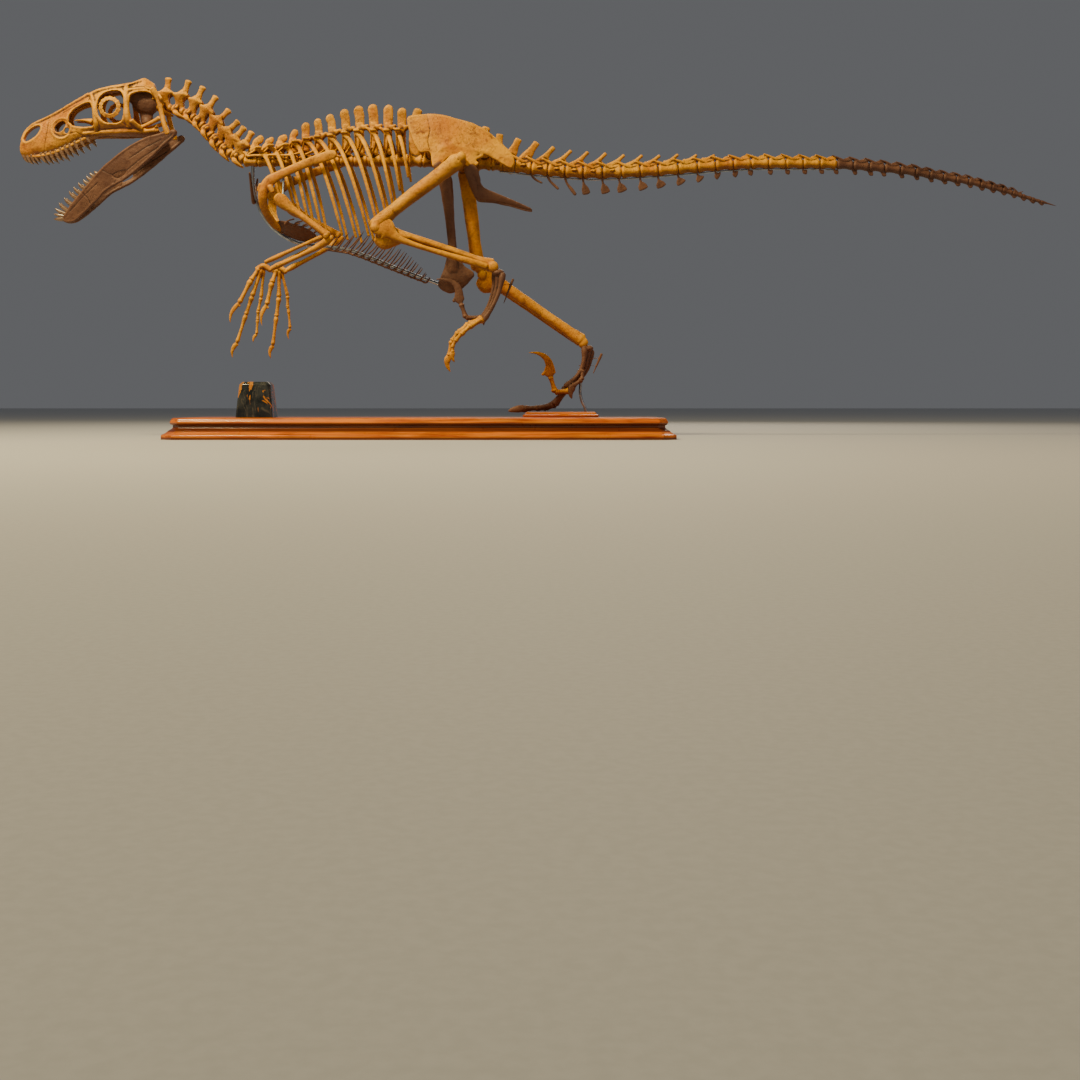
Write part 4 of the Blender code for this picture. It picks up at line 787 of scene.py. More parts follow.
# The lower jaw: each half is a thin plank, deepest before its joint, with a small window;
# it hangs open from the skull, its teeth standing forward at the tip.
jaw_spot, jaw_back = tilted_frame(math.radians(36.7), -741, 905)
JAW_OUTLINE = np.array(((-4, 12), (9, 14), (30, 24), (71, 41), (116, 49), (175, 51), (222, 51),
                        (245, 48), (272, 44), (300, 38), (325, 33), (349, 28), (379, 22), (405, 14),
                        (427, 4), (425, -9), (413, -18), (396, -25), (360, -24), (305, -18),
                        (272, -12), (240, -13), (208, -21), (170, -22), (131, -20), (77, -17),
                        (35, -10), (8, -11), (-6, -5)))
JAW_WINDOW = np.array(((222, 14), (200, 10), (176, -1), (188, -9), (218, -4)))


LOWER_TIPS = ((444, 20), (434, 33), (421, 45), (401, 52), (379, 55), (355, 60), (336, 59), (317, 62),
              (299, 59), (285, 62), (271, 61), (258, 58))


def jaw_spread(x, z):
    """Half spread of the jaw, wide at its joint and narrow at its tip, a little bowed."""
    forward = jaw_back(x, z)[0] / 418
    return 49 - 41 * forward + 7 * np.sin(math.pi * np.clip(forward, 0, 1))


def jaw_carving(points):
    """The seam between the jaw's front and hind bones, a groove under the teeth, cracks."""
    plane = np.column_stack(jaw_back(points[:, 0], points[:, 2]))
    lift = 1.0 * np.exp(-((distance_to(plane, JAW_OUTLINE, True) - 3) / 3) ** 2)
    for seam in (((236, 42), (226, 22), (219, 12)), ((219, -4), (232, -12)),
                 ((390, 8), (330, 17), (270, 22)),
                 ((326, 28), (322, 4), (327, -20)), ((150, 20), (90, 16), (40, 6)), ((178, -3), (120, -2),
                                                                                     (60, -6))):
        lift -= 1.2 * np.exp(-(distance_to(plane, seam) / 1.6) ** 2)
    return lift


for side, word in SIDES:
    outline = np.array([jaw_spot(f, u)[::2] for f, u in JAW_OUTLINE])
    window = np.array([jaw_spot(f, u)[::2] for f, u in JAW_WINDOW])
    shells = [slab(outline, 5.6, 3.6, lambda x, z: side * jaw_spread(x, z), 14, [window])]
    for rows in (((20, 14, 5), (110, 43, 5), (216, 45, 5), (300, 32, 5), (412, 6, 5)),
                 ((-2, -4, 6), (80, -11, 5), (200, -15, 5), (280, -7, 5), (360, -18, 5), (412, -11, 5))):
        line = []
        for f, u, r in rows:
            x, _, z = jaw_spot(f, u)
            line.append((x, side * float(jaw_spread(x, z)), z, r, r))
        shells.append(tube(line, 40, 12))
    x, _, z = jaw_spot(-2, 2)
    shells.append(ball(x, side * 49, z, 11, 8, 9))
    # The jaws take the darker bone: painted shade.
    bone("lower_jaw_" + word, shells, ["mandible_" + word], SHADED_COPY, voxel=1.8,
         soften=2, lumps=1.2, grain=0.6, carve=jaw_carving)
    lower = []
    for forward, up in LOWER_TIPS:
        foot = float(np.interp(forward, [255, 340, 400, 445], [251, 334, 393, 418]))
        edge = float(np.interp(foot, [245, 272, 300, 349, 379, 405, 427], [48, 44, 38, 28, 22, 14, 4]))
        x, _, z = jaw_spot(foot, edge - 6)
        y = side * float(jaw_spread(x, z))
        height = (up - edge) * random.uniform(0.88, 1.02)
        tip_x, _, tip_z = jaw_spot(forward, edge + height)
        lower.append(fang((x, y, z), (tip_x, y, tip_z), 6.4, (-0.2 * height, 0, 0.02 * height)))
    fangs("lower_teeth_" + word, lower, ["mandible_" + word])


# The neck: nine vertebrae in an S from the skull down to the back. Each has a waisted
# body, an arch with four joint wings, a blunt spine and short ribs that point back.
def spool_rows(places, sizes):
    """Rows of a column of bodies: each waisted, lipped at its ends, grooved at the joint."""
    phase = np.array([0, 0.07, 0.13, 0.22, 0.36, 0.5, 0.64, 0.78, 0.87, 0.93])
    slim = np.array([0.66, 1.0, 1.06, 0.98, 0.88, 0.84, 0.88, 0.98, 1.06, 1.0])
    t = (np.arange(len(places) - 1)[:, None] + phase).ravel()
    t = np.append(t, len(places) - 1)
    slim = np.append(np.tile(slim, len(places) - 1), 0.8)
    places, sizes = np.asarray(places, float), np.asarray(sizes, float)
    whole = np.arange(len(places))
    centre = [np.interp(t, whole, places[:, k]) for k in range(3)]
    size = np.interp(t, whole, sizes) * slim
    return np.column_stack([*centre, size, size])


def column(places, sizes, around=18):
    """A column of bodies as one skin along its own rows."""
    rows = spool_rows(places, sizes)
    centre = rows[:, :3]
    heading = np.gradient(centre, axis=0)
    heading /= np.linalg.norm(heading, axis=1)[:, None]
    wide = np.array((0.0, 1, 0)) - heading * heading[:, 1:2]
    wide /= np.linalg.norm(wide, axis=1)[:, None]
    deep = np.cross(heading, wide)
    a = 2 * math.pi * np.arange(around) / around
    grid = (centre[:, None] + wide[:, None] * (rows[:, 3, None] * np.cos(a))[..., None]
            + deep[:, None] * (rows[:, 4, None] * np.sin(a))[..., None])
    return closed_grid(grid, [centre[0], centre[-1]])


NECK_MIDDLES = np.array(((-806, 994), (-778, 991), (-737, 984), (-703, 969), (-676, 948),
                         (-650, 921), (-624, 890), (-596, 862), (-560, 840), (-520, 829)), float)
NECK_TIPS = np.array(((-767, 1077), (-707, 1069), (-664, 1051), (-625, 1022),
                      (-587, 982), (-559, 948), (-541, 930), (-518, 916)), float)
halfway = (NECK_MIDDLES[1:] + NECK_MIDDLES[:-1]) / 2
joints = np.vstack([NECK_MIDDLES[0] * 1.5 - NECK_MIDDLES[1] * 0.5, halfway])
neck_shells = [column([(x, 0, z) for x, z in joints], np.linspace(13.5, 16.5, len(joints)))]
for k in range(9):
    here = NECK_MIDDLES[k]
    along = NECK_MIDDLES[k + 1] - NECK_MIDDLES[max(k - 1, 0)]
    along /= np.linalg.norm(along)
    up = np.array((-along[1], along[0]))
    room_k = np.linalg.norm(NECK_MIDDLES[k + 1] - here)

    def spot(forward, rise, y=0.0):
        place = here - along * forward + up * rise
        return (place[0], y, place[1])

    if k == 0:
        neck_shells.append(tube([(*spot(0, 6), 15, 8), (*spot(0, 26), 17, 8), (*spot(-3, 38), 10, 7)], 14,
                                16))
        neck_shells.append(tube([(*spot(4, 20, -20), 5, 5), (*spot(4, 20, 20), 5, 5)], 10, 12, (1, 0, 0)))
        continue
    tip = NECK_TIPS[k - 1]
    way = tip - here
    rise = np.linalg.norm(way)
    crest = float(np.clip(way @ -along, -0.55 * rise, 0.55 * rise))
    wing = np.array(((0.5 * crest + 8, 0.66), (0.45 * crest + 12, 0.56), (0.56 * room_k, 0.49),
                     (0.78 * room_k, 0.50),
                     (0.80 * room_k, 0.43), (0.56 * room_k, 0.35), (0.34 * room_k, 0.22), (0.36 * room_k,
                                                                                           0.08),
                     (0.42 * room_k, -0.06), (-0.42 * room_k, -0.06), (-0.40 * room_k,
                                                                       0.08), (-0.28 * room_k, 0.22),
                     (-0.18 * room_k, 0.34), (-0.24 * room_k, 0.42), (-0.50 * room_k,
                                                                      0.47), (-0.56 * room_k, 0.53),
                     (-0.42 * room_k, 0.59), (0.5 * crest - 9, 0.62), (0.5 * crest, 0.72)))
    outline = [spot(forward, share * rise)[::2] for forward, share in wing]
    for side in (LEFT, RIGHT):
        shell = slab(outline, 6.5, 3.6, lambda x, z: 0 * x, 9, count=90)
        flare = 7 + 8 * np.clip(1.0 - np.abs((shell[0][:, [0, 2]] - here) @ up / rise - 0.52) / 0.4, 0, 1)
        shell[0][:, 1] += side * flare
        neck_shells.append(shell)
    neck_shells.append(tube([(*spot(0.2 * crest, 0.3 * rise), 9, 9),
                             (*spot(0.45 * crest, 0.56 * rise), 7, 11),
                             (*spot(0.68 * crest, 0.70 * rise), 5.8, 9.4),
                             (*spot(0.88 * crest, 0.86 * rise), 5.6, 8.4), (tip[0], 0, tip[1], 6.8,
                                                                            10.8)], 26, 14,
                            power=2.2, blunt=0.7))
    for side in (LEFT, RIGHT):
        neck_shells.append(tube([(*spot(8, -2, side * 8), 5, 8), (*spot(2, -12, side * 17), 4.5, 8),
                                 (*spot(-24, -19, side * 17), 1.8, 2.6)], 16, 10))
        neck_shells.append(tube([(*spot(4, 8, side * 9), 5, 6), (*spot(4, 2, side * 19), 4, 5.5)], 8, 10,
                                (1, 0, 0)))
bone("neck_vertebrae", neck_shells, ["neck"], GOLD, voxel=1.8, soften=2, lumps=1.4, grain=0.7)


# The back: twelve vertebrae whose spines rise towards the hips like blunt tablets, broad
# flat wings at their sides, and the ribs hung from the wings, each with a second head.
BACK_START, BACK_STEP = -520, 41.2
BACK_X = BACK_START + BACK_STEP * np.arange(12)
BACK_TIPS = np.array(((-492, 908), (-460, 903), (-421, 911), (-389, 926), (-356, 947), (-320, 959),
                      (-283, 972), (-240, 987), (-197, 997), (-155, 1002), (-108, 1000), (-67, 991)), float)
BACK_ARCH = np.array((872, 878, 886, 896, 907, 917, 928, 937, 942, 943, 942, 941), float)
RIB_HEADS = ((-492, 859), (-456, 866), (-411, 868), (-385, 878), (-352, 886), (-320, 892),
             (-281, 896), (-239, 904), (-203, 910), (-153, 911), (-113, 911), (-80, 913))
RIB_FEET = ((-425, 712), (-378, 668), (-340, 642), (-301, 622), (-238, 602), (-196, 594),
            (-159, 599), (-130, 614), (-104, 645), (-88, 690), (-68, 735), (-44, 776))
RIB_REACH = (40, 52, 60, 67, 72, 76, 78, 78, 76, 72, 64, 52)
SPINE_HALF = (11, 9.5, 11, 10.5, 12.5, 12.5, 13.5, 14.5, 15.5, 15.5, 15, 14)
joint_x = BACK_START + BACK_STEP * (np.arange(13) - 0.5)
joint_r = 15.5 + 0.3 * np.arange(13)
back_shells = [column([(x, 0, 813 + r) for x, r in zip(joint_x, joint_r)], joint_r, 20)]
for k in range(12):
    x, arch = BACK_X[k], BACK_ARCH[k]
    tip = BACK_TIPS[k]
    head = RIB_HEADS[k]
    foot_x = x + 0.35 * (tip[0] - x)
    lean = random.uniform(-1.5, 1.5)
    wall = 18 if k < 4 else 14
    back_shells.append(tube([(x, 0, 836, 11, wall), (x + 0.15 * (tip[0] - x), 0, (836 + arch) / 2, 10,
                                                     wall - 2),
                             (foot_x, 0, arch, 7, 12)], 12, 16, power=2.6))
    middle_x, middle_z = (foot_x + tip[0]) / 2, (arch + tip[1]) / 2
    broad = SPINE_HALF[k] * random.uniform(0.95, 1.05)
    top = tip[1] - 0.72 * broad
    back_shells.append(tube([(foot_x, 0, arch - 6, 5, 0.96 * broad),
                             (middle_x, lean / 2, middle_z, 3.8, 0.98 * broad),
                             (tip[0], lean, top - 6, 4.2, broad), (tip[0] + 1, lean, top, 4.2,
                                                                   0.92 * broad)],
                            22, 18, power=2.4, blunt=0.4))
    back_shells.append(ball(tip[0] + 1, lean, top, 0.9 * broad, 4.2, 0.76 * broad))
    for side in (LEFT, RIGHT):
        back_shells.append(tube([(x + 0.3 * (head[0] - x), side * 6, head[1] + 2, 13, 9),
                                 (x + 0.7 * (head[0] - x), side * 20, head[1] + 6, 8.5, 6),
                                 (head[0] + 3, side * 36, head[1] + 7, 10, 5)], 14, 14, (1, 0, 0), 2.6))
        back_shells.append(tube([(x - 12, side * 9, 846, 3, 4), (head[0] - 2, side * 30, head[1] + 4, 2.6,
                                                                 4)],
                                8, 10, (1, 0, 0)))
        back_shells.append(tube([(x - 8, side * 8, arch - 24, 4, 9),
                                 (x - 23, side * 9, arch - 15, 4.5, 4)], 10, 12))
        back_shells.append(tube([(x + 8, side * 7, arch - 12, 4, 9), (x + 22, side * 8, arch - 5, 4, 3.6)],
                                10, 12))
        back_shells.append(tube([(x - 10, side * 9, 840, 5, 6), (x - 10, side * 15, 846, 4, 5)], 8, 10,
                                (1, 0, 0)))
bone("back_vertebrae", back_shells, ["rib_cage_left", "rib_cage_right"], GOLD,
     voxel=2.0, soften=2, lumps=1.5, grain=0.8)


def rib_rows(head, foot, reach, side):
    """A rib: out from its head by the sine of a turning angle, down by its cosine."""
    sweep = math.radians(118)
    rows = [(head[0], side * 28, head[1] + 2, 7.0, 5.0)]
    for k in range(1, 15):
        turn = sweep * (0.16 + 0.84 * k / 14)
        fall = (1 - math.cos(turn)) / (1 - math.cos(sweep))
        x = head[0] + (foot[0] - head[0]) * fall ** 0.6
        z = head[1] + (foot[1] - head[1]) * fall
        share = k / 14
        broad = 7.4 - 3.2 * share if share < 0.9 else 4.4
        rows.append((x, side * reach * math.sin(turn), z, broad, 4.4 - 1.2 * share))
    return rows


for side, word in SIDES:
    shells = []
    for k in range(12):
        head = RIB_HEADS[k]
        reach = RIB_REACH[k] * random.uniform(0.985, 1.01)
        rows = rib_rows(head, RIB_FEET[k], reach, side)
        shells.append(tube(rows, 44, 12, (1, 0, 0)))
        shells.append(tube([rows[2], (0.5 * (rows[2][0] + BACK_X[k] - 10), side * 22,
                                      0.5 * (rows[2][2] + 846), 4, 4),
                            (BACK_X[k] - 10, side * 13, 843, 4.5, 5)], 14, 10, (1, 0, 0)))
    bone("ribs_" + word, shells, ["rib_cage_" + word], GOLD, voxel=1.9, soften=2,
         lumps=1.3, grain=0.6)


# The sacrum: six bodies grown together between the hips, their spines in a low wall whose
# tips show over the blades, and cross struts that reach the blades on both sides.
SACRAL_TIPS = ((-21, 990), (24, 962), (68, 954), (108, 946), (142, 945), (182, 936))
places = [(BACK_START + BACK_STEP * (12 + k - 0.5), 0, 832 - 1.8 * k) for k in range(7)]
shells = [column(places, [18.5] * 7, 18)]
for k, (x, z) in enumerate(SACRAL_TIPS):
    shells.append(tube([(x - 8, 0, 838, 10, 18), (x - 5, 0, z - 52, 6, 17), (x - 2, 0, z - 24, 4.4, 14),
                        (x + 3, 0, z - 8, 4.8, 13)], 20, 14, power=2.6, blunt=1.4))
    if 0 < k < 5:
        for side in (LEFT, RIGHT):
            level = 855 - 1.6 * k
            shells.append(tube([(x - 6, side * 8, level - 6, 10, 14), (x - 6, side * 26, level, 7, 9),
                                (x - 6, side * 46, level, 8, 12)], 12, 14, (1, 0, 0)))
bone("sacrum_bones", shells, ["sacrum"], GOLD, voxel=2.2, soften=2, lumps=1.5, grain=0.7)


# The hips: a broad curved blade each side over the open hip socket, and below it two
# pairs of rods. The front pair runs straight down and joins in a heavy keeled boot.
ILIUM_OUTLINE = ((-50, 956), (-34, 963), (18, 967), (62, 962), (101, 952), (145, 938), (184, 919),
                 (220, 890), (253, 859), (271, 836), (273, 814), (263, 796), (240, 809), (216, 825),
                 (184, 842), (164, 838), (154, 808), (128, 802), (118, 824), (92, 838), (66, 826), (56,
                                                                                                    800),
                 (28, 800), (22, 851), (-10, 845), (-26, 874), (-42, 914))
ISCHIUM_OUTLINE = ((119, 800), (146, 816), (166, 795), (168, 762), (182, 744), (214, 732),
                   (264, 712), (300, 697), (326, 686), (326, 678), (296, 684), (262, 695),
                   (213, 707), (158, 711), (144, 737), (132, 766))
BOOT_OUTLINE = ((38, 458), (52, 443), (77, 433), (105, 440), (130, 462), (152, 488), (147, 500),
                (122, 514), (102, 545), (68, 548), (60, 510), (48, 480))


def blade_carving(points):
    """A low ridge over the hip socket, the seam in the front blade and long shallow folds."""
    plane = points[:, [0, 2]]
    lift = 1.6 * np.exp(-((distance_to(plane, ((52, 858), (92, 872), (140, 858), (190, 846)))) / 9) ** 2)
    lift -= 0.9 * np.exp(-(distance_to(plane, ((22, 851), (14, 880), (20, 915), (10, 966))) / 1.8) ** 2)
    lift += 0.9 * np.sin(plane[:, 0] / 17 + plane[:, 1] / 40)
    return lift


for side, word in SIDES:

    def blade_lean(x, z):
        return side * (32 + 0.17 * (966 - z) + 2.5 * np.sin((x + 50) / 320 * math.pi))

    shells = [slab(ILIUM_OUTLINE, 7.2, 3.6, blade_lean, 22, count=170)]
    shells.append(tube([(160, side * 59, 812, 6, 9), (148, side * 58, 822, 5, 8),
                        (176, side * 56, 838, 5, 7)], 14, 12))
    shells.append(tube([(54, side * 58, 806, 7, 9), (42, side * 57, 818, 7, 10),
                        (34, side * 55, 838, 5, 8)], 14, 12))
    bone("hip_blade_" + word, shells, ["ilium_" + word], GOLD, voxel=2.1, soften=2,
         lumps=1.6, grain=0.5, carve=blade_carving)
    shells = [slab(ISCHIUM_OUTLINE, 5.2, 3.2, lambda x, z: side * (10 + 0.40 * (z - 677)), 9)]
    shells.append(tube([(134, side * 58, 796, 6, 11), (150, side * 46, 762, 6, 10),
                        (158, side * 32, 730, 5, 8)], 16, 12))
    shells.append(tube([(160, side * 26, 722, 5, 7), (220, side * 22, 716, 5, 6),
                        (280, side * 16, 697, 4, 4.5),
                        (322, side * 12, 682, 3, 3)], 26, 12))
    # The seat bones take the darker bone: painted shade.
    bone("seat_bone_" + word, shells, ["ischium_" + word], SHADED_COPY, voxel=1.9,
         soften=2, lumps=1.5, grain=0.7)

shells = [slab(BOOT_OUTLINE, 12, 5, lambda x, z: 0 * x, 14)]
for side in (LEFT, RIGHT):
    shells.append(tube([(42, 61 * side, 812, 8, 14), (56, 57 * side, 790, 11, 21),
                        (66, 46 * side, 750, 9, 18),
                        (74, 24 * side, 680, 8.5, 14.5), (82, 12 * side, 600, 8, 12.5),
                        (86, 8 * side, 530, 9, 15), (88, 6 * side, 500, 8, 18)], 44, 16))
# The pubic bones take the darker bone: painted shade.
bone("pubic_bones", shells, ["pubis"], SHADED_COPY, voxel=2.0, soften=3, lumps=1.8, grain=0.7)


# The tail: some forty bodies that shrink to a point, the front ones with leaning spines
# and side wings, all but the last with small hatchet bones below their joints. The hatchets
# and the end of the tail take the darker bone: painted shade.
TAIL_LINE = np.array(((198, 821), (260, 817), (340, 806), (420, 799), (505, 795), (600, 797), (700, 803),
                      (800, 811), (900, 820), (1000, 825), (1200, 825), (1300, 820), (1395, 812),
                      (1470, 803), (1550, 789), (1640, 775), (1750, 749), (1840, 722), (1913, 702)), float)
TAIL_BREAKS = (560, 960, 1230, 1380)
TAIL_NODES = (1, 2, 3, 3, 4)


def tail_spot(x, up=0.0, side=0.0):
    """A place beside the middle line of the tail, which swings gently to the right."""
    return (x, 45 * max(0.0, (x - 300) / 1600) ** 2 + side,
            float(np.interp(x, TAIL_LINE[:, 0], TAIL_LINE[:, 1])) + up)


def tail_radius(x):
    """Half height of the tail's bodies at a place along it."""
    return float(np.interp(x, [200, 500, 850, 1200, 1400, 1600, 1780, 1880, 1906],
                           [19, 18.2, 16, 14.6, 13, 10.5, 7.6, 4.6, 2.2]))


joints = [201, 236, 272, 321, 370, 422, 476, 534, 591, 647, 701, 761, 819, 873, 927, 980, 1033, 1085,
          1137, 1188, 1239, 1289, 1337, 1384]
while joints[-1] < 1880:
    joints.append(joints[-1] + 48 - 24 * (joints[-1] - 1384) / 522)
joints[-1] = 1913
tail_shells = [[], [], [], [], []]
tail_stops = [[], [], [], [], []]
tail_hatchets = [[], [], []]
for k, (front, back) in enumerate(zip(joints, joints[1:])):
    group = sum(front > place for place in TAIL_BREAKS)
    if not tail_stops[group]:
        tail_stops[group].append(front)
    tail_stops[group].append(back)
    closes = sum(back > place for place in TAIL_BREAKS) != group
    shells = tail_shells[group]
    middle = (front + back) / 2
    radius = tail_radius(middle)
    if k < 13:
        rise = float(np.interp(k, range(13), (94, 85, 82, 72, 66, 64, 60, 54, 50, 46, 45, 39, 34)))
        reach = float(np.interp(k, [0, 1, 2, 4, 12], [8, 29, 41, 44, 24]))
        wide = float(np.interp(k, [0, 2, 3, 4, 12], [11, 10.5, 7.5, 6.0, 4.6]))
        shells.append(tube([(*tail_spot(middle - 8, 4), 7, 15), (*tail_spot(middle, radius + 4), 5.5, 15)],
                           8, 14))
        shells.append(tube([(*tail_spot(middle - 3, radius + 1), 5, 15 - 0.4 * k),
                            (*tail_spot(middle + 0.32 * reach, radius + 0.3 * (rise - radius)), 4.2,
                             1.35 * wide + 1.5),
                            (*tail_spot(middle + 0.7 * reach, radius + 0.66 * (rise - radius)), 3.8,
                             1.05 * wide),
                            (*tail_spot(middle + reach, rise - 3), 4.0, wide)],
                           22, 14, power=2.4, blunt=0.7))
        if k > 2:
            shells.append(tube([(*tail_spot(middle + 0.5 * reach, radius + 0.42 * (rise - radius)), 3.4, 5),
                                (*tail_spot(back + 4, radius + 6), 3, 4)], 10, 10))
    elif k < 32:
        fade = 1 - (k - 13) / 22
        shells.append(tube([(*tail_spot(middle - 6, radius * 0.5), 4.5, 8),
                            (*tail_spot(middle + 8, radius + 2), 3.4, 6 * fade + 3),
                            (*tail_spot(middle + 22, radius + 8 * fade + 2), 2.2, 3)], 12, 12))
    if k < len(joints) - 4:
        thin = max(0.34, 1.12 - k / 45)
        for side in (LEFT, RIGHT):
            shells.append(tube([(*tail_spot(middle, radius * 0.75, side * 5), 4.6 * thin, 7 * thin),
                                (*tail_spot(front + 2, radius + 6, side * 6.5), 3.6 * thin, 5 * thin),
                                (*tail_spot(front - (14 if k else 4) * min(1, 2 * thin),
                                            radius + 13 * min(1,
                                                              1.3 * thin), side * 7), 2.6 * thin, 3.2 * thin)], 12, 10))
            shells.append(tube([(*tail_spot(middle + 4, radius * 0.8, side * 4), 4 * thin, 7 * thin),
                                (*tail_spot(back + 2, radius + 6, side * 4), 3 * thin, 4 * thin)], 8, 10))
    if k < 8:
        reach = 43 - 3.6 * k
        for side in (LEFT, RIGHT):
            shells.append(tube([(*tail_spot(middle, 5, side * 8), 9, 5),
                                (*tail_spot(middle + 2, 5, side * 0.5 * (reach + 14)), 6.5, 3.2),
                                (*tail_spot(middle + 5, 4, side * (reach - 3)), 6, 2.6)], 12, 12, (1, 0,
                                                                                                   0)))
    if 1 < k < len(joints) - 2:
        depth = float(np.interp(k, [2, 3, 4, 5, 7, 9, 10, 12, 14, 24, 36],
                                [25, 38, 52, 48, 42, 36, 31, 20, 15, 9, 3]))
        wide = float(np.interp(k, [2, 4, 5, 7, 10, 12, 16, 24, 36],
                               [3.6, 5.8, 14, 17, 17, 14.5, 11, 7, 3.4]))
        hang = back - (7 if closes else 0)
        head = max(2.6, radius * 0.34)
        slant = 30 if k < 5 else 9 + 0.1 * wide
        hatchets = shells if group > 2 else tail_hatchets[group]
        hatchets.append(tube([(*tail_spot(hang - 1, -radius * 0.8), head, 4.4),
                              (*tail_spot(hang + 0.2 * slant, -radius - 0.3 * depth), 2.8,
                               min(3.8, 1 + wide)),
                            (*tail_spot(hang + slant * 0.62, -radius - 0.62 * depth), 2.4,
                             0.72 * wide + 1.2),
                            (*tail_spot(hang + slant, -radius - depth + 5), 2.6,
                             0.92 * wide)], 22, 14, blunt=1.7))
# The hatchet bones take the darker bone: painted shade.
for k, shells in enumerate(tail_hatchets):
    bone("tail_hatchets_" + str(k + 1), shells, ["tail_" + str(k + 1)], SHADED_COPY,
         voxel=1.5, soften=1, lumps=0.8, grain=0.6)
for k, (shells, stops) in enumerate(zip(tail_shells, tail_stops)):
    stops = [tail_spot(x) for x in stops]
    shells.insert(0, column(stops, [tail_radius(p[0]) if p[0] < 1905 else 1.0 for p in stops], 16))
    # The tail's last two runs take the darker bone: painted shade.
    bone("tail_bones_" + str(k + 1), shells, ["tail_" + str(TAIL_NODES[k])], GOLD if k < 3 else SHADED_COPY,
         voxel=1.8 if k < 4 else 1.5, soften=2, lumps=1.2, grain=0.6)


# Shoulders and chest: a long strap of a shoulder blade bends round each side to the
# breastbone, a thin wishbone closes them in front, and rows of belly ribs hang below.
BELLY_ROD = np.array(((-514, 809), (-514, 777), (-507, 723), (-488, 675), (-460, 636), (-412, 599),
                      (-361, 580), (-290, 574), (-223, 564), (-183, 550), (-103, 518), (-31, 490),
                      (44, 462)), float)
for side, word in SIDES:
    strap = [(-254, 86 * side, 839, 2.6, 8), (-260, 86 * side, 838, 3.2, 13),
             (-270, 86 * side, 835, 3.6, 15), (-300, 87 * side, 825, 4.4, 14.5), (-340, 87 * side, 811, 5,
                                                                                  13.5),
             (-380, 86 * side, 794, 5.4, 13), (-420, 85 * side, 776, 6, 14), (-450, 84 * side, 757, 7, 17),
             (-466, 82 * side, 732, 8.5, 16), (-470, 78 * side, 702, 8, 13.5), (-464, 66 * side, 672, 6.5,
                                                                                12.5),
             (-450, 48 * side, 646, 5.5, 12), (-434, 33 * side, 627, 5, 9.5), (-428, 28 * side, 620, 4, 5)]
    shells = [tube(strap, 70, 18)]
    shells.append(tube([(-448, 86 * side, 742, 8, 10), (-440, 87 * side, 726, 7, 8)], 10, 12))
    shells.append(tube([(-474, 83 * side, 748, 5, 8), (-482, 80 * side, 730, 4, 6)], 10, 12))
    bone("shoulder_blade_" + word, shells, ["scapula_" + word], GOLD, voxel=1.9,
         soften=3, lumps=1.5, grain=0.5)

wish = [(-512, y, z, r, r) for y, z, r in ((-62, 786, 3.2), (-48, 766, 4.2), (-22, 728, 4.8), (0, 706, 5.6),
                                           (22, 728, 4.8), (48, 766, 4.2), (62, 786, 3.2))]
# The wishbone takes the darker bone: painted shade.
bone("wishbone", [tube(wish, 50, 12, (1, 0, 0))], ["furcula"], SHADED_COPY, voxel=1.6,
     soften=2, lumps=0.8, grain=0.5)

shells = []
for side in (LEFT, RIGHT):
    rows = np.array(((-446, 628, 10), (-420, 611, 24), (-385, 596, 27), (-350, 587, 24), (-326, 585, 12)),
                    float)
    shells.append(tube([(x, side * half * 0.8, z + half * 0.75, half * 1.15, 3.6) for x, z, half in rows],
                       40, 20,
                       (0, 1, 0.95 * side)))
    for k in range(4):
        x = -412 + 24 * k
        shells.append(tube([(x, side * 40, 636 - 6 * k, 3.2, 3.2), (x + 12, side * 49, 646 - 6 * k, 3, 3),
                            (x + 30, side * 55, 650 - 6 * k, 2.6, 2.6)], 10, 10))
shells.append(tube([(-444, 0, 632, 6, 3), (-385, 0, 598, 8, 3), (-328, 0, 588, 6, 3)], 24, 12))
# The breastbone takes the darker bone: painted shade.
bone("breastbone", shells, ["sternum"], SHADED_COPY, voxel=1.8, soften=2, lumps=1.4, grain=0.9)

shells = []
keel = []
for k in range(16):
    x = -288 + 19.5 * k
    low, high = np.interp((x - 12, x + 12), BELLY_ROD[:, 0], BELLY_ROD[:, 1])
    z = float(np.interp(x, BELLY_ROD[:, 0], BELLY_ROD[:, 1])) - 9.8 * math.hypot(1, (high - low) / 24)
    keel.append((x, 0, z, 3.0, 3.0))
    grow = math.sin(math.pi * (0.30 + 0.62 * k / 15))
    for side in (LEFT, RIGHT):
        reach = 56 * grow * random.uniform(0.93, 1.04)
        rise = 60 * grow * random.uniform(0.94, 1.04)
        shells.append(tube([(x - 6, side * 0.5, z, 2.6, 2.6),
                            (x + 8 * grow, side * 0.25 * reach, z + 3 * grow, 2.5, 2.5),
                            (x + 24 * grow, side * 0.62 * reach, z + 0.3 * rise, 2.3, 2.3),
                            (x + 40 * grow, side * 0.84 * reach, z + 0.62 * rise, 2.1, 2.1),
                            (x + 56 * grow, side * reach, z + rise, 1.2, 1.2)], 26, 9))
shells.append(tube(keel, 50, 10))
# The belly ribs take the darker bone: painted shade.
bone("belly_ribs", shells, ["gastralia"], SHADED_COPY, voxel=1.4, soften=1, lumps=0.9, grain=0.5)


# Arms: a strong upper bone with a tall crest, two forearm bones and three long clawed
# fingers that hang from the wrist. Each finger bone swells at both ends.
def long_bone(start, end, rows, across=(0, 1, 0), count=44, around=20, power=2.0):
    """A shaft between two places from rows (share of the way, out, up, half across, half deep)."""
    start, end = np.array(start, float), np.array(end, float)
    stations = [(*(start + (end - start) * share + (0, out, lift)), wide, deep)
                for share, out, lift, wide, deep in rows]
    return tube(stations, count, around, across, power)


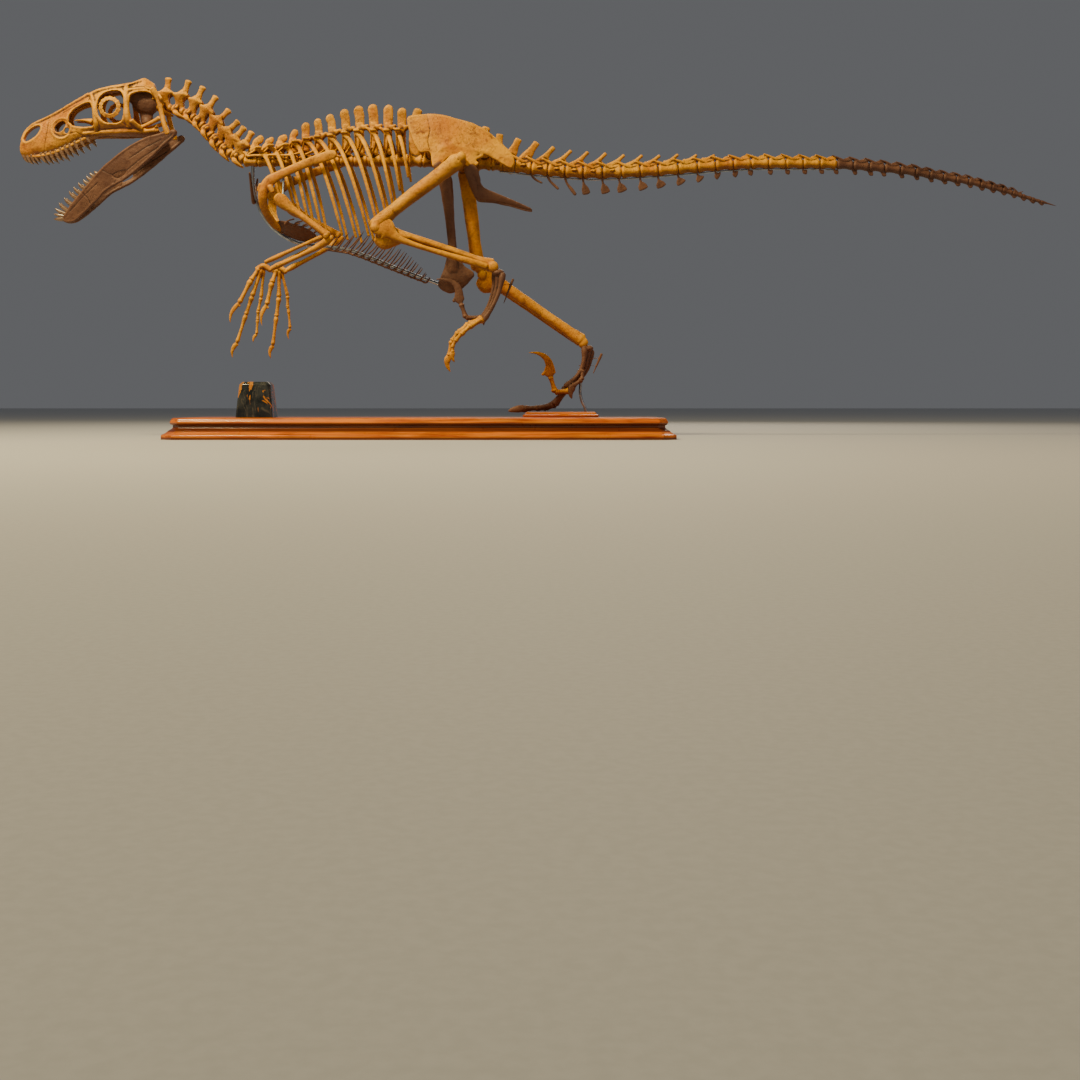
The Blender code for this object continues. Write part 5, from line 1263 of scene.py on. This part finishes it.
def digit(points, sizes, claw=None):
    """Finger or toe bones end to end, waisted between knuckles, and the claw at the end."""
    points = np.array(points, float)
    shells = []
    for k in range(len(points) - 2):
        a, b = points[k], points[k + 1]
        r, q = sizes[k], sizes[k + 1]
        w = 0.7 * (r + q) / 2
        rows = [(*(a + (b - a) * s), f, f) for s, f in
                ((0.02, 0.82 * r), (0.09, 1.0 * r), (0.24, 0.8 * r), (0.45, w), (0.66, w * 1.02),
                 (0.84, 0.86 * q), (0.93, 0.98 * q), (0.985, 0.7 * q))]
        shells.append(tube(rows, 26, 12, blunt=0.35))
    base, tip = points[-2], points[-1]
    if claw is not None:
        shells.append(tube(claw, 40, 14, blunt=0.5))
        return shells
    hook = (base - points[-3]) / np.linalg.norm(base - points[-3])
    bend = np.array((-1.0, 0, 0)) * np.linalg.norm(tip - base) * 0.15
    size = sizes[-1]
    rows = [(*(base + hook * 1.5), size * 0.62, size * 0.95), (*(base + (tip - base) * 0.2 + bend * 0.6),
                                                               size * 0.6, size * 1.15),
            (*(base + (tip - base) * 0.5 + bend), size * 0.45, size * 0.85),
            (*(base + (tip - base) * 0.8 + bend * 0.6), size * 0.28, size * 0.5), (*tip, 0.5, 0.7)]
    shells.append(tube(rows, 24, 12, blunt=0.5))
    heel = base + (tip - base) * 0.14 - bend * 0.5
    shells.append(ball(*heel, size * 0.5, size * 0.5, size * 0.6))
    return shells


HANDS = {
    LEFT: (((-500, -66, 494), (-506, -70, 468), (-540, -76, 400), (-566, -78, 341)),
           ((-482, -62, 491), (-505, -62, 420), (-523, -61, 366), (-550, -60, 283), (-563, -60, 239)),
           ((-468, -56, 488), (-480, -52, 417), (-489, -50, 378), (-491, -49, 352), (-494, -48, 310),
            (-504, -47, 284))),
    RIGHT: (((-462, 66, 505), (-468, 62, 471), (-483, 58, 404), (-496, 56, 337)),
            ((-445, 72, 505), (-449, 74, 426), (-457, 75, 368), (-468, 76, 281), (-474, 76, 240)),
            ((-430, 78, 500), (-424, 82, 432), (-424, 84, 398), (-422, 85, 391), (-417, 86, 334),
             (-420, 86, 298))),
}
FINGER_SIZES = ((8, 9, 8, 6), (7.8, 8.2, 7.2, 6.6, 5.8), (6.2, 6.2, 5.6, 5.2, 5, 4.6))
ELBOWS = {LEFT: (-273, -112, 594), RIGHT: (-270, 112, 620)}
WRISTS = {LEFT: (-458, -64, 513), RIGHT: (-436, 72, 520)}
for side, word in SIDES:
    shoulder = np.array((-424, 100 * side, 706), float)
    elbow, wrist = np.array(ELBOWS[side], float), np.array(WRISTS[side], float)
    upper_arm = [long_bone(shoulder, elbow, (
        (0.0, 0, 4, 11, 15), (0.05, 0, 3, 12, 19), (0.14, 0, 0, 11, 19), (0.26, 0, -1, 10, 14),
        (0.42, 0, 0, 9, 10.5), (0.7, 0, 0, 9, 10), (0.88, 0, 0, 11, 11), (0.98, 0, 0, 12, 12)))]
    for out in (-1, 1):
        upper_arm.append(ball(*(elbow + (-5, out * 7, -1)), 9, 6.5, 10))
    bone("upper_arm_" + word, upper_arm, ["humerus_" + word], GOLD, voxel=1.8,
         soften=3, lumps=1.4, grain=0.5)
    low = elbow + (-4, 0, -8)
    shells = [long_bone(low + (14, 0, -2), wrist + (8, 0, -12), (
        (0.0, 0, 4, 6, 8), (0.05, 0, 3, 8, 12), (0.14, 0, -1, 8, 11), (0.35, 0, -3, 6.2, 7.8),
        (0.7, 0, -2, 5.8, 6.8), (0.92, 0, 0, 7, 8.4), (0.99, 0, 0, 6, 6.6)))]
    bone("forearm_back_" + word, shells, ["ulna_" + word], GOLD, voxel=1.7, soften=3,
         lumps=1.2, grain=0.5)
    shells = [long_bone(low + (-14, -3 * side, 5), wrist + (-8, 0, 8), (
        (0.0, 0, 0, 6, 7), (0.07, 0, 0, 6.8, 7.6), (0.2, 0, 1, 5, 6), (0.5, 0, 1, 4.8, 5.6),
        (0.88, 0, 0, 6.4, 7.4), (0.99, 0, 0, 6, 6.4)))]
    bone("forearm_front_" + word, shells, ["radius_" + word], GOLD, voxel=1.7,
         soften=3, lumps=1.2, grain=0.5)
    shells = [tube([(*(wrist + (-32, -2 * side, -12)), 7, 8), (*(wrist + (-12, 0, -3)), 9, 9),
                    (*(wrist + (8, 0, -15)), 8, 8)], 16, 14), ball(*(wrist + (-16, 0, -4)), 9, 8, 7),
              ball(*(wrist + (-30, -2 * side, -12)), 7, 6, 7)]
    for line, sizes in zip(HANDS[side], FINGER_SIZES):
        start = (wrist + (-14, 0, -4)) * 0.6 + np.array(line[0], float) * 0.4
        shells += digit((tuple(start),) + line[1:], sizes)
    bone("hand_bones_" + word, shells, ["hand_" + word], GOLD, voxel=1.5, soften=1,
         lumps=1.0, grain=0.6)


# Legs: a bowed thigh bone with a round head in the hip socket and two knuckles at the
# knee, a long shin with a crest in front, and a thin splint bone outside it.
KNEES = {LEFT: (-140, -114, 620), RIGHT: (157, 92, 512)}
SHINS = {LEFT: (-128, -112, 604), RIGHT: (165, 93, 496)}
ANKLES = {LEFT: (212, -90, 500), RIGHT: (480, 95, 284)}
for side, word in SIDES:
    hip, knee = np.array((118, 84 * side, 828), float), np.array(KNEES[side], float)
    along = (knee - hip) / np.linalg.norm(knee - hip)
    behind = np.cross(along, (0, 1, 0))
    if behind[0] < 0:
        behind = -behind
    shells = [long_bone(hip, knee, ((0.0, 0, -2, 12, 16), (0.05, 0, 0, 17, 24), (0.14, 0, 0, 18, 24),
                                    (0.25, 0, 0, 17, 22.5), (0.55, 0, 3, 17, 21), (0.78, 0, 2, 18, 19.5),
                                    (0.9, 0, 0, 22, 22), (0.97, 0, 0, 21, 21)), around=24)]
    shells.append(tube([(102, 44 * side, 822, 15, 15), (108, 60 * side, 822, 14, 14),
                        (116, 78 * side, 820, 15, 16)], 16, 18, (1, 0, 0)))
    for out in (-12, 12):
        shells.append(ball(*(knee + (0, out, 0) - along * 4 + behind * 7), 17, 10.5, 17))
    shells.append(ball(*(hip + (-2, 12 * side, 0)), 14, 9, 16))
    bone("thigh_" + word, shells, ["femur_" + word], GOLD, voxel=2.1, soften=3,
         lumps=2.0, grain=0.6)
    shin, ankle = np.array(SHINS[side], float), np.array(ANKLES[side], float)
    run = (ankle - shin) / np.linalg.norm(ankle - shin)
    front = np.cross(run, (0, 1, 0))
    if front[2] < 0:
        front = -front
    inner = np.array((0, -9 * side, 0))
    slim, lift = (0.74, 4) if side == LEFT else (1.0, 0)
    shells = [long_bone(shin + inner + front * 14, ankle + inner * 0.4 + front * 7, (
        (0.0, 0, -16, 15, 34), (0.05, 0, -16, 18, 42), (0.13, 0, -10, 16, 30), (0.24, 0, lift - 2, 13,
                                                                                19 * slim),
        (0.4, 0, lift, 12, 16.5 * slim), (0.7, 0, lift, 12, 16 * slim), (0.88, 0, 0.5 * lift, 14,
                                                                         18 * slim),
        (0.96, 0, 0, 17, 21)), around=24)]
    for out in (-11, 11):
        shells.append(ball(*(shin + inner + (0, out, 0) + run * 6 + front * 2), 13, 9.5, 17))
        shells.append(ball(*(ankle + (0, out, 0) - run * 4 + front * 4), 16, 8.5, 17))
    bone("shin_" + word, shells, ["tibia_" + word], GOLD, voxel=2.0, soften=3,
         lumps=1.8, grain=0.6)
    outer = np.array((0, 13 * side, 0))
    shells = [long_bone(shin + outer - run * 8, ankle + outer - run * 16 - front * 2, (
        (0.0, 0, -2, 6, 9), (0.035, 0, 6, 8, 20), (0.075, 0, 17, 9, 33), (0.105, 0, 16, 9, 30),
        (0.15, 0, 8, 8, 18), (0.2, 0, 1, 7.5, 12), (0.3, 0, -2, 7, 9), (0.6, 0, -2, 6.5, 8.5),
        (0.9, 0, 0, 7, 10.5), (0.98, 0, 0, 7, 10)), count=60)]
    bone("splint_" + word, shells, ["fibula_" + word], GOLD, voxel=1.8, soften=2,
         lumps=1.4, grain=0.5)


# Feet: three long bones side by side with pulley ends, the thin outer splint on two
# wires, a small back toe, and toes of which the second carries the great raised claw.
BALLS = {LEFT: (180, -90, 352), RIGHT: (430, 95, 156)}
SPLINTS = {LEFT: ((268, -84, 470), (240, -84, 398)), RIGHT: ((536, 92, 256), (510, 92, 196))}
SPURS = {LEFT: ((212, -68, 424), (204, -65, 396), (192, -63, 362), (181, -62, 332)),
         RIGHT: ((478, 74, 206), (474, 70, 176), (448, 68, 158), (445, 67, 116))}
for side, word in SIDES:
    start, ball_end = np.array(ANKLES[side], float) + (14, 0, -14), np.array(BALLS[side], float)
    shells = []
    run = (ball_end - start) / np.linalg.norm(ball_end - start)
    front = np.cross(run, (0, 1, 0))
    bow = 10 if side == LEFT else 20
    for out in (-17, 0, 17):
        top = start + (0, out * 0.66 * side, 0) + front * out * 0.72
        end = ball_end + (0, out * 1.05 * side, 0) + front * out * 0.25
        rows = [(*(top + (end - top) * s + front * bow * math.sin(math.pi * s)), wide, deep) for s, wide,
                deep in
                ((0.0, 9, 9), (0.06, 10.5, 10), (0.2, 8.5, 7.6), (0.45, 6.6, 6.4), (0.7, 6.6, 6.4),
                 (0.88, 7.6, 7.6), (0.95, 8, 9), (1.0, 7, 8))]
        shells.append(tube(rows, 34, 16))
        shells.append(ball(*end, 8, 7.5, 8.5))
    shells.append(ball(*(start + (-2, 0, 2)), 19, 20, 11))
    a, b = np.array(SPLINTS[side][0], float), np.array(SPLINTS[side][1], float)
    shells.append(tube([(*a, 2.6, 4.6), (*((a + b) / 2), 2.4, 3.6), (*b, 1.2, 1.6)], 18, 12))
    for share in (0.2, 0.6):
        root = a + (b - a) * share
        held = start + (ball_end - start) * (0.2 + 0.4 * share)
        shells.append(tube([(*root, 1.3, 1.3), (*held, 1.3, 1.3)], 8, 8))
    shells += digit(SPURS[side], (5.5, 5, 5, 6) if side == LEFT else (6.5, 8.5, 9, 10))
    # The feet take the darker bone: painted shade.
    bone("foot_bones_" + word, shells, ["metatarsus_" + word], SHADED_COPY, voxel=1.7,
         soften=2, lumps=1.5, grain=0.7)

SICKLES = {
    LEFT: ((112, -69, 400, 4, 7), (110, -69, 408, 5, 14), (108, -69, 420, 6, 14), (107, -69, 434, 6, 12),
           (99, -69, 454, 5.4, 9.5),
           (83, -69, 465, 4.6, 7.5), (62, -69, 470, 3, 5), (40, -69, 471, 0.8, 1.2)),
    RIGHT: ((379, 72, 186, 5, 9), (377, 72, 195, 6, 18), (377, 72, 206, 6.5, 17), (376, 72, 221, 6, 13),
            (370, 72, 236, 5.6, 11),
            (359, 72, 248, 4.8, 8.5), (340, 72, 257, 3, 5.2), (313, 72, 259, 0.8, 1.2)),
}
# Toes that lie in shadow take the darker bone: painted shade.
TOES = (
    ("toe_2_left", ((176, -71, 356), (128, -70, 357), (114, -69, 398), (40, -69, 470)),
     (10, 9, 9, 9), SICKLES[LEFT], shaded_bone),
    ("toe_3_left", ((178, -90, 352), (138, -92, 336), (108, -93, 312), (88, -93, 287), (79, -93, 243),
                    (84, -93, 196)), (13, 11, 10, 8.5, 7.5, 9), None, golden_bone),
    ("toe_4_left", ((180, -109, 350), (146, -112, 332), (120, -115, 310), (102, -116, 290), (92, -117, 272),
                    (92, -117, 254), (98, -117, 224)), (11, 10, 9, 8, 7, 6.5, 7.5), None, golden_bone),
    ("toe_2_right", ((436, 76, 142), (393, 74, 139), (379, 72, 186), (313, 72, 259)),
     (10.5, 10.5, 9, 9), SICKLES[RIGHT], golden_bone),
    ("toe_3_right", ((430, 95, 152), (386, 95, 100), (342, 95, 90), (300, 95, 90), (249, 95, 80)),
     (13.5, 11, 9.4, 9.6, 10), None, shaded_bone),
    ("toe_4_right", ((430, 114, 150), (394, 116, 99), (366, 118, 89), (342, 119, 88), (314, 120, 88),
                     (276, 120, 80)), (12, 10, 9, 8.5, 8.5, 8.5), None, shaded_bone),
)
HEELS = {"toe_2_left": ((107, -69, 424), (91, -69, 405)), "toe_2_right": ((376, 72, 208), (354, 72, 191))}
for name, points, sizes, claw, finish in TOES:
    shells = digit(points, sizes, claw=claw)
    if name in HEELS:
        root, heel = HEELS[name]
        shells.append(tube([(*root, 5, 9), (*heel, 2.6, 4.4)], 10, 12))
    bone(name.replace("toe_", "toe_bones_"), shells, [name], (finish, "dark_bone"), voxel=1.5, soften=1,
         lumps=1.0, grain=0.6)


# The mount: bent steel rods carry the animal. One runs from the neck under the belly to
# the hip boot, one holds the foot, one lies under the tail and two short ones the arms.
steel = Finish("blue_steel", roughness=0.32, metallic=1.0)
smear = steel.noise(60, 4, 0.6)
steel.wear(steel.mixed(smear.ramp(0.3, 0.75), (0.34, 0.38, 0.46), (0.16, 0.17, 0.2)), smear * 0.3 + 0.2,
           smear, 0.0003, 0.2)


def steel_rod(name, points, radius, node, count=90):
    """A round rod carried along a smooth line through points, with flat ends."""
    shells = [tube([(*p, radius, radius) for p in points], count, 20, blunt=0.15)]
    shown(name, joined(shells, name), steel.material, [node], 50)


steel_rod("belly_rod", [(-514, 0, 816)] + [(x, 0, z) for x, z in BELLY_ROD[1:]], 4.9, "stand_rod_belly")
steel_rod("foot_rod", [(488, 95, 78.4), (485, 95, 90), (475, 95, 112), (470, 95, 136), (471, 95, 160),
                       (470, 95, 184),
                       (464, 95, 206)], 4.4, "stand_rod_foot")
under = [tail_spot(x, -tail_radius(x) - 2.0) for x in np.linspace(joints[1] - 10, 1230, 30)]
steel_rod("tail_rod", under, 2.5, "stand_rod_tail", 120)
for side, word in SIDES:
    steel_rod("shoulder_rod_" + word, [(-408, 76 * side, 797), (-409, 80 * side, 756),
                                       (-408, 92 * side, 712)],
              3.4, "stand_rod_shoulder_" + word, 30)
